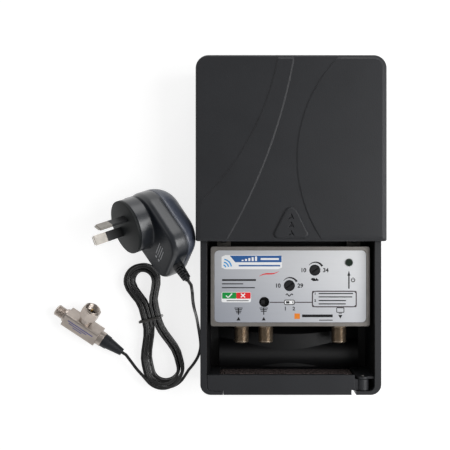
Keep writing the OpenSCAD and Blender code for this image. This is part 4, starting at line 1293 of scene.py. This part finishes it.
def figure(digits, x, y, tall):
    """A plain number as a thin solid of the built-in letter shapes, with its middle at x, y."""
    curve = bpy.data.curves.new("number", "FONT")
    curve.body = digits
    curve.size = tall / FIGURE_SHARE
    curve.offset = FIGURE_STROKE
    curve.extrude = PRINT_T / 2
    curve.resolution_u = 6
    carrier = bpy.data.objects.new("number", curve)
    mesh = bpy.data.meshes.new_from_object(carrier)
    points = np.empty(len(mesh.vertices) * 3)
    mesh.vertices.foreach_get("co", points)
    points = points.reshape(-1, 3)
    faces = [list(face.vertices) for face in mesh.polygons]
    middle = (points.min(0) + points.max(0)) / 2
    bpy.data.objects.remove(carrier)
    bpy.data.curves.remove(curve)
    bpy.data.meshes.remove(mesh)
    return points - middle + np.array([x, y, PRINT_Z + PRINT_T / 2]), faces


def printed_rules(name, rules, face, at, ways, rgb):
    """Plain rules in the place of print, rows of (x0, x1, y, thickness) in the face's own directions."""
    points, faces = join_parts(level_rules(rules))
    points[:, 2] += face - PRINT_Z
    ink = clouded("ink_" + name, rgb, **INK)
    mesh_piece(name, placed(points * MM, at, *ways), faces, ink, "base")


class KIT_OT_prints(bpy.types.Operator):
    """Prints the label: title plate, dials, switch diagram, legend and port marks, with no words"""

    bl_idname = "kit.prints"
    bl_label = "Label prints"

    def execute(self, context):
        look = context.scene.kit_amplifier
        inks = {
            "black": (look.ink, self.dials() + self.diagram() + self.port_marks() + self.lines()),
            "grey": (colour(70, 62, 66), self.frames()),
            "white": (colour(244, 245, 247), self.plates()),
            "blue": (look.band, self.blue_marks()),
            "sky": (colour(64, 160, 222), self.sky_marks()),
            "red": (colour(228, 44, 46), self.red_marks()),
            "green": (colour(22, 148, 66), [slab(box_line(-42.8, 3.5, -33.9, 7.4), 1)]),
            "amber": (colour(232, 132, 40), [slab(box_line(2.6, -9.2, 6.0, -5.8))]),
            "mark": (colour(246, 247, 248), self.over_marks()),
        }
        for name, (rgb, parts) in inks.items():
            points, faces = join_parts(parts)
            ink = clouded("ink_" + name, rgb, **INK)
            mesh_piece("label_print_" + name, points * MM, faces, ink, "base")
        return {"FINISHED"}

    def dials(self):
        """Swept arcs that widen clockwise over the gain trimmers, their end numbers and a wave under each."""
        parts = []
        for x, y, top, turns in ((15.4, 21.4, "34", 3.0), (-0.6, 11.7, "29", 1.5)):
            t = np.linspace(0, 1, ARC_POINTS)
            parts.append(slab(ribbon(arc(x, y, 4.75 + 0.55 * t, 140, 28), 0.12 + 0.52 * t)))
            parts.append(figure("10", x - 6.9, y, 2.5))
            parts.append(figure(top, x + 6.9, y, 2.5))
            wave = np.stack([x - 2.2 + 4.4 * t, y - 5.9 + 0.65 * np.sin(t * turns * TAU)], -1)
            parts.append(slab(ribbon(wave, np.full(ARC_POINTS, 0.3))))
        return parts

    def diagram(self):
        """The band switch as a pill with its slider, its two places, and the arrow to the power light."""
        pill = outline_slab(box_line(-4.0, -0.45, 2.9, 2.85, 1.2), box_line(-3.5, 0.05, 2.4, 2.35, 0.75), 1)
        parts = [pill, slab(box_line(-2.7, 0.5, -0.6, 1.9), 2), slab(box_line(1.4, 0.5, 1.9, 1.9), 2)]
        parts += [figure("1", -3.1, -2.7, 2.2), figure("2", 2.2, -2.7, 2.2)]
        parts += [slab(rule(36.8, 9.8, 36.8, 18.2, 0.8)), slab([(35.85, 17.9), (37.75, 17.9), (36.8, 21.0)])]
        parts.append(slab(ribbon(arc(39.4, 15.2, 1.1, 125, 415), np.full(ARC_POINTS, 0.26))))
        parts.append(slab(rule(39.4, 15.3, 39.4, 16.9, 0.5)))
        return parts

    def port_marks(self):
        """Arrows at the ports with an aerial over each input and a screen over the output."""
        parts = []
        for x, bars in ((-32.5, 4), (-16.7, 3)):
            parts.append(slab([(x - 1.25, -10.2), (x + 1.25, -10.2), (x, -7.9)]))
            parts.append(slab(rule(x, -6.6, x, -2.2, 0.6)))
            for k in range(bars):
                reach = 2.6 - 0.4 * k
                parts += level_rules([(x - reach, x + reach, -2.4 - k, 0.52)])
        parts.append(slab([(30.1, -6.7), (31.4, -9.0), (32.7, -6.7)]))
        glass = box_line(29.35, -4.85, 33.45, -2.45, 0.3)
        parts.append(outline_slab(box_line(28.9, -5.3, 33.9, -2.0, 0.5), glass))
        parts += level_rules([(30.4, 32.4, -5.7, 0.35)])
        return parts

    def lines(self):
        """Plain rules in the places of the description and of the legend, with the legend's two numbers."""
        rows = ((-42.9, -21.6, 15.2, 1.1), (-42.9, -29.6, 12.8, 0.62), (-42.9, -22.3, 10.4, 0.62))
        parts = level_rules(rows)
        legend = ((17.8, 39.4, 6.7), (17.8, 38.9, 4.6), (17.8, 35.0, 2.3), (17.8, 34.8, 0.2))
        parts += level_rules((x0, x1, y, 0.66) for x0, x1, y in legend)
        parts += [figure("1", 15.6, 6.7, 1.4), figure("2", 15.6, 2.3, 1.4)]
        parts += level_rules([(-26.2, -40.0, 2.2, 0.45)], 1)
        parts += level_rules([(7.4, 26.6, -7.3, 1.7), (18.2, 26.6, -10.0, 0.5)])
        return parts

    def frames(self):
        """The legend's box and the lines from the switch to its drawing and on to the legend."""
        box = outline_slab(box_line(13.55, -1.95, 41.75, 8.5, 0.8), box_line(14.25, -1.25, 41.05, 7.8, 0.3))
        return [box, *level_rules([(-12.9, -4.0, 1.2, 0.6), (2.9, 13.55, 1.2, 0.6)])]

    def plates(self):
        """White ground of the title plate, of the two chips and of the switch drawing."""
        shapes = ((-43.2, 22.0, -5.2, 30.9, 0.3), (-43.2, 1.2, -24.7, 7.7, 0.8), (-3.7, -0.2, 2.6, 2.6, 1.0))
        return [slab(box_line(*shape)) for shape in shapes]

    def blue_marks(self):
        """The title plate's band, cut on a slant at its left, and a rule below it."""
        band = slab([(-34.6, 26.4), (-5.5, 26.4), (-5.5, 30.5), (-38.0, 30.5)], 1)
        return [band, *level_rules([(-32.4, -6.4, 24.2, 0.9)], 1)]

    def sky_marks(self):
        """Three spreading arcs at the title plate's left."""
        half = np.full(ARC_POINTS, 0.42)
        return [slab(ribbon(arc(-42.2, 23.0, r, 8, 82), half), 1) for r in (1.6, 3.4, 5.2)]

    def red_marks(self):
        """The right chip and a rising stroke under the title plate."""
        t = np.linspace(0, 1, 30)
        stroke = np.stack([-19.6 + 12.4 * t, 17.6 + 3.0 * t + 0.5 * np.sin(t * TAU)], -1)
        half = 0.08 + 0.34 * np.sin(t * math.pi)
        return [slab(box_line(-33.9, 3.5, -24.9, 7.4), 1), slab(ribbon(stroke, half))]

    def over_marks(self):
        """White marks over the colours: rising bars on the band, a tick and a cross on the chips."""
        parts = []
        for k in range(5):
            x = -30.6 + 2.1 * k
            parts.append(slab(box_line(x, 27.1, x + 1.3, 27.9 + 0.55 * k, 0.1, 24), 2))
        parts += level_rules([(-18.6, -7.2, 28.4, 1.2)], 2)
        tick = ((-40.4, 5.4), (-39.0, 4.2), (-36.6, 6.7))
        parts += [slab(rule(*tick[0], *tick[1], 0.7), 2), slab(rule(*tick[1], *tick[2], 0.7), 2)]
        parts += [slab(rule(-31.0, 4.3, -28.4, 6.7, 0.7), 2), slab(rule(-31.0, 6.7, -28.4, 4.3, 0.7), 3)]
        return parts


# Inside pieces


class KIT_OT_inside(bpy.types.Operator):
    """Finishes the pieces inside the case, the plug pack and the injector"""

    bl_idname = "kit.inside"
    bl_label = "Inside pieces"

    def execute(self, context):
        dress(circuit_green("board_green"), "circuit_board", "rectifier_board", "injector_choke")
        dress(wound_wire("copper_wire"), "filter_coils", "transformer_winding")
        dress(stacked_steel("core_steel"), "transformer_core")
        dress(clouded("trimmer_blue", colour(52, 86, 140), **RESIN), "trimmer_bodies")
        ivory = clouded("insulator_ivory", colour(214, 208, 192), **RESIN)
        dress(ivory, "port_insulators", "injector_insulators")
        dress(plated("contact_gold", colour(206, 170, 96), 0.25), "port_contacts", "injector_contact")
        return {"FINISHED"}


# Plug pack


# The plug pack about its own middle, in millimetres, with the skin's step in metres
PACK_CIRCLES = ((-8.0, 0.0, 21.5), (14.0, 8.5, 12.0), (14.0, -8.5, 12.0))
TURRET_X = -11.75
TURRET_R = 17.25
SEAM_Z = -10.5
TURRET_AT = np.array([TURRET_X, 0.0, 0.0])
CATCH = ((-31.1, -5.0, -6.0), (-25.5, 3.0, 1.5))
DOME_AT = np.array([-8.0, 0.0])
DOME_FLAT = 0.32
DOME_DEEP = 15.0
DOME_INSIDE = 13.0
EDGE_IN = 3.4
EDGE_DEEP = 4.0
TURRET_FOOT = 1.0
TURRET_TOP = 8.96
SKIN_STEP = (0.0003, 0.0009)


def front_shell(sides):
    """The front shell about the turret's middle: from the seam over the edge, up the turret and back inside.

    Each ring is the outline drawn in by an inset, never less than the turret; the edge is a quarter ellipse.
    """
    angle = round_angles(sides)
    middle = (TURRET_X, 0.0)

    def reach(inset):
        return hull_reach(PACK_CIRCLES, angle, inset, middle)[0]

    rows = [(reach(inset), SEAM_Z + up) for inset, up in ((0.45, 0.0), (0.4, 0.25), (0.08, 0.45), (0.0, 0.7))]
    rows += [(np.maximum(reach(0.0), TURRET_R), z) for z in (-8.0, -6.0, -EDGE_DEEP)]
    for k in np.radians(np.linspace(9, 90, 10)):
        outline = np.maximum(reach(EDGE_IN * (1 - math.cos(k))), TURRET_R)
        rows.append((outline, EDGE_DEEP * (math.sin(k) - 1)))
    edge = np.maximum(reach(EDGE_IN), TURRET_R)
    foot = np.minimum(edge, TURRET_R + TURRET_FOOT)
    rows += [(edge + (foot - edge) * k, 0.0) for k in (0.25, 0.5, 0.75, 1.0)]
    for k in np.radians([30, 60, 90]):
        rows.append((foot + (TURRET_R - foot) * math.sin(k), TURRET_FOOT * (1 - math.cos(k))))
    rows += [(TURRET_R, z) for z in (3.0, 6.0, 8.5)] + [(TURRET_R - 0.05, 8.75)]
    rows += [(TURRET_R - 0.3, TURRET_TOP), (TURRET_R - 2.4, TURRET_TOP), (TURRET_R - 2.5, 8.8)]
    rows += [(TURRET_R - 2.5, -2.2), (reach(3.2), -2.2), (reach(2.0), -EDGE_DEEP), (reach(2.0), SEAM_Z)]
    return looped(ring_rows(rows, angle) + TURRET_AT)


def rear_shell(sides):
    """The rear dome and its inside.

    The outline is scaled by flat + (1 - flat) cos a, moved to the round end by 1 - cos a, and sunk by sin a.
    """
    angle = round_angles(sides)
    ring = turn_points(angle)

    def dome(inset, deep, a):
        """One ring of the dome at the angle a."""
        flat = DOME_AT + hull_reach(PACK_CIRCLES, angle, inset, DOME_AT)[0][:, None] * ring
        flat = flat * (DOME_FLAT + (1 - DOME_FLAT) * math.cos(a)) + DOME_AT * (1 - math.cos(a))
        return at_height(flat, SEAM_Z - deep * math.sin(a))

    outside = [dome(0.0, DOME_DEEP, a) for a in np.radians(np.linspace(90, 3, 26))]
    lip = [dome(inset, DOME_DEEP, a) for inset, a in ((0.08, 0.03), (0.4, 0.015), (0.45, 0.0))]
    inside = [dome(2.0, DOME_INSIDE, a) for a in np.radians(np.linspace(0, 90, 14))]
    end = outside[0]
    crown = [at_height(end[:, :2] * k + DOME_AT * (1 - k), end[0, 2]) for k in (0.12, 0.5)]
    return rings(np.array(crown + outside + lip + inside))


def round_block(low, high, corner, edge):
    """A block with round corners in plan and round top and bottom edges, as rings up Z."""
    low = np.asarray(low, float)
    high = np.asarray(high, float)
    middle = (low + high) / 2
    half = (high - low) / 2
    angle = round_angles(64)
    a = np.radians(np.linspace(0, 90, 6))
    inset = np.concatenate([edge * (1 - np.sin(a)), edge * (1 - np.sin(a[::-1]))])
    z = np.concatenate([-half[2] + edge * (1 - np.cos(a)), half[2] - edge * (1 - np.cos(a[::-1]))])
    stack = []
    for d, level in zip(inset, z):
        flat = hull_ring(half[0] - d, half[1] - d, max(corner - d, 0.05), angle)
        stack.append(at_height(flat, level))
    return rings(np.array(stack) + middle)


def polished_sides(f):
    """1 on the plug pack's turret and sides, 0 on its flat front."""
    level = (f.along(tuple(PACK_N)) - float(PACK_AT @ PACK_N)).math("ABSOLUTE")
    return level.step(*SKIN_STEP)


class KIT_OT_pack(bpy.types.Operator):
    """Makes the plug pack's shells and plug face and finishes its pins and strain relief"""

    bl_idname = "kit.pack"
    bl_label = "Plug pack"

    def execute(self, context):
        look = context.scene.kit_pack
        skin = {"gloss": 0.15, "polish": polished_sides}
        shell = moulded("pack_shell", look.shell, 0.38, 0.00006, 2100.0, 0.0, **skin)
        # The rear dome's lighter, bluer colour is a painted highlight
        dome = moulded("pack_dome", look.dome, 0.36, 0.00012, 1900.0, 0.0, gloss=0.9)
        matte = moulded("plug_face_matte", colour(22, 25, 26), 0.55, 0.00003, 1900.0, 0.0002, gloss=0.2)
        rubber = moulded("relief_rubber", colour(26, 27, 29), 0.45, 0.00002, 1800.0, 0.0003)
        front = join_parts([front_shell(look.sides * 2), round_block(*CATCH, corner=1.0, edge=0.7)])
        self.add("pack_front_moulding", front, shell, "pack_front_shell")
        self.add("pack_rear_moulding", rear_shell(look.sides * 2), dome, "pack_rear_shell")
        rows = [(0.6, 9.04), (TURRET_R - 0.3, 9.04), (TURRET_R - 0.05, 9.2), (TURRET_R, 9.4)]
        rows += [(TURRET_R, 10.6), (TURRET_R - 0.1, 10.85), (TURRET_R - 0.4, 11.0), (0.6, 11.0)]
        face = rings(ring_rows(rows, round_angles(look.sides)) + TURRET_AT)
        self.add("plug_face_plate", face, matte, "plug_face")
        dress(plated("pin_steel", colour(150, 146, 140), 0.4, rounded=0.0, metal=0.8), "mains_pins")
        dress(rubber, "pin_sleeves", "strain_relief")
        ends = ((10.6, 0.0), (12.4, 1.2), (14.2, 0.5), (16.0, 2.4))
        rules = [(-4.4, 6.6 - short, -y, 0.5) for y, short in ends]
        rules += [(-7.6, -5.9, -11.6, 1.5), (-7.6, -5.9, -14.8, 1.5)]
        ways = (PACK_W, -PACK_U, PACK_N)
        printed_rules("pack_print", rules, -0.005, PACK_AT, ways, colour(190, 192, 196))
        return {"FINISHED"}

    def add(self, name, solid, finish, node):
        """One piece in the pack's own directions, standing for a CAD node."""
        points, faces = solid
        at = placed(points * MM, PACK_AT, PACK_U, PACK_W, PACK_N)
        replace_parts(mesh_piece(name, at, faces, finish, "base"), node)


# Injector


# Millimetres from the injector's middle to its nut
NUT_AT = 9.0


def nut_solid(pitch, sides=120):
    """The hex nut along Z: chamfered hexagon, nose, threaded bore and the lip that holds it on its collar."""
    angle = round_angles(sides)
    six = hex_reach(11.0, angle, corner=0.15)
    rows = [(3.75, 0.0), (5.2, 0.0)]
    rows += [(np.minimum(six, 5.45 + 1.7 * h), h) for h in (0.08, 0.2, 0.35, 0.5, 0.7)]
    rows += [(np.minimum(six, 5.45 + 1.7 * (7.0 - h)), h) for h in (6.3, 6.5, 6.65, 6.8, 6.92, 7.0)]
    rows += [(5.2, 7.02), (5.2, 7.7), (5.1, 7.92), (4.95, 8.0), (4.8, 7.9)]
    rows += threaded(2.7, 7.8, PORT_R, pitch, 0.3, angle, fading=False)[::-1]
    rows += [(4.4, 2.65), (4.4, 1.25), (3.75, 1.2)]
    return looped(ring_rows(rows, angle))


def barrel_solid(pitch, sides=96):
    """The threaded barrel along Z with its shoulder, end chamfer and open bore, closed on itself."""
    angle = round_angles(sides)
    rows = [(2.8, 0.02), (4.45, 0.02), (4.6, 0.15), (4.6, 1.35), (4.45, 1.5), (3.6, 1.52)]
    rows += threaded(1.6, 7.4, 3.79, pitch, 0.4, angle)
    rows += [(3.7, 7.5), (3.3, 7.95), (3.2, 8.0), (2.95, 8.0), (2.8, 7.85)]
    return looped(ring_rows(rows, angle))


class KIT_OT_injector(bpy.types.Operator):
    """Makes the injector's nut and threaded barrel and finishes its body, collar, ferrule and boot"""

    bl_idname = "kit.injector"
    bl_label = "Power injector"

    def execute(self, context):
        look = context.scene.kit_pack
        pitch = context.scene.kit_amplifier.pitch / MM
        plating = plated("injector_plating", look.plating, 0.36, rounded=0.0005, metal=0.8)
        dress(plating, "injector_body", "injector_collar", "injector_ferrule")
        boot = moulded("boot_rubber", colour(24, 26, 31), 0.5, 0.00003, 1500.0, 0.0006)
        dress(boot, "injector_boot")
        bright = plated("nut_plating", look.plating, 0.34, rounded=0.0)
        points, faces = nut_solid(pitch)
        at = placed(points * MM, INJ_AT + NUT_AT * MM * INJ_M, INJ_F, INJ_A, INJ_M)
        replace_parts(mesh_piece("injector_nut_threaded", at, faces, bright, "nut"), "injector_nut")
        points, faces = barrel_solid(pitch)
        at = placed(points * MM, INJ_AT - INJ_HALF * MM * INJ_A, INJ_M, INJ_F, -INJ_A)
        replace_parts(mesh_piece("injector_barrel_threaded", at, faces, bright, "base"), "injector_barrel")
        self.add_print()
        return {"FINISHED"}

    def add_print(self):
        """Three plain blue rules on the body's face, in the place of its print."""
        rules = ((-9.6, 9.8, 1.7, 0.75), (-8.2, 5.6, 0.2, 0.6), (-4.6, 2.4, -1.2, 0.6))
        printed_rules("injector_print", rules, INJ_FACE, INJ_AT, (INJ_A, INJ_M, INJ_F), colour(92, 94, 150))


# Panel and order of work


class KIT_PT_panel(bpy.types.Panel):
    bl_idname = "KIT_PT_panel"
    bl_label = "TV amplifier kit"
    bl_space_type = "VIEW_3D"
    bl_region_type = "UI"
    bl_category = "Amplifier"

    def draw(self, context):
        for step in STEPS:
            self.layout.operator("kit." + step)
        for name, group in GROUPS.items():
            box = self.layout.box()
            for setting in group.__annotations__:
                box.prop(getattr(context.scene, name), setting)


GROUPS = {
    "kit_housing": HousingLook,
    "kit_amplifier": AmplifierLook,
    "kit_pack": PackLook,
    "kit_stage": StageLook,
}
OPERATORS = (
    KIT_OT_stage,
    KIT_OT_lead,
    KIT_OT_cover,
    KIT_OT_housing,
    KIT_OT_amplifier,
    KIT_OT_prints,
    KIT_OT_inside,
    KIT_OT_pack,
    KIT_OT_injector,
)
STEPS = [operator.bl_idname.split(".")[1] for operator in OPERATORS]


def register():
    """Registers the groups, the operators and the panel, and puts the groups on the scene."""
    for name, group in GROUPS.items():
        bpy.utils.register_class(group)
        setattr(bpy.types.Scene, name, PointerProperty(type=group))
    for operator in OPERATORS:
        bpy.utils.register_class(operator)
    bpy.utils.register_class(KIT_PT_panel)


def unregister():
    """Takes everything that register added away again."""
    bpy.utils.unregister_class(KIT_PT_panel)
    for operator in reversed(OPERATORS):
        bpy.utils.unregister_class(operator)
    for name, group in GROUPS.items():
        delattr(bpy.types.Scene, name)
        bpy.utils.unregister_class(group)


def main():
    register()
    for step in STEPS:
        getattr(bpy.ops.kit, step)()


if __name__ == "__main__":
    main()
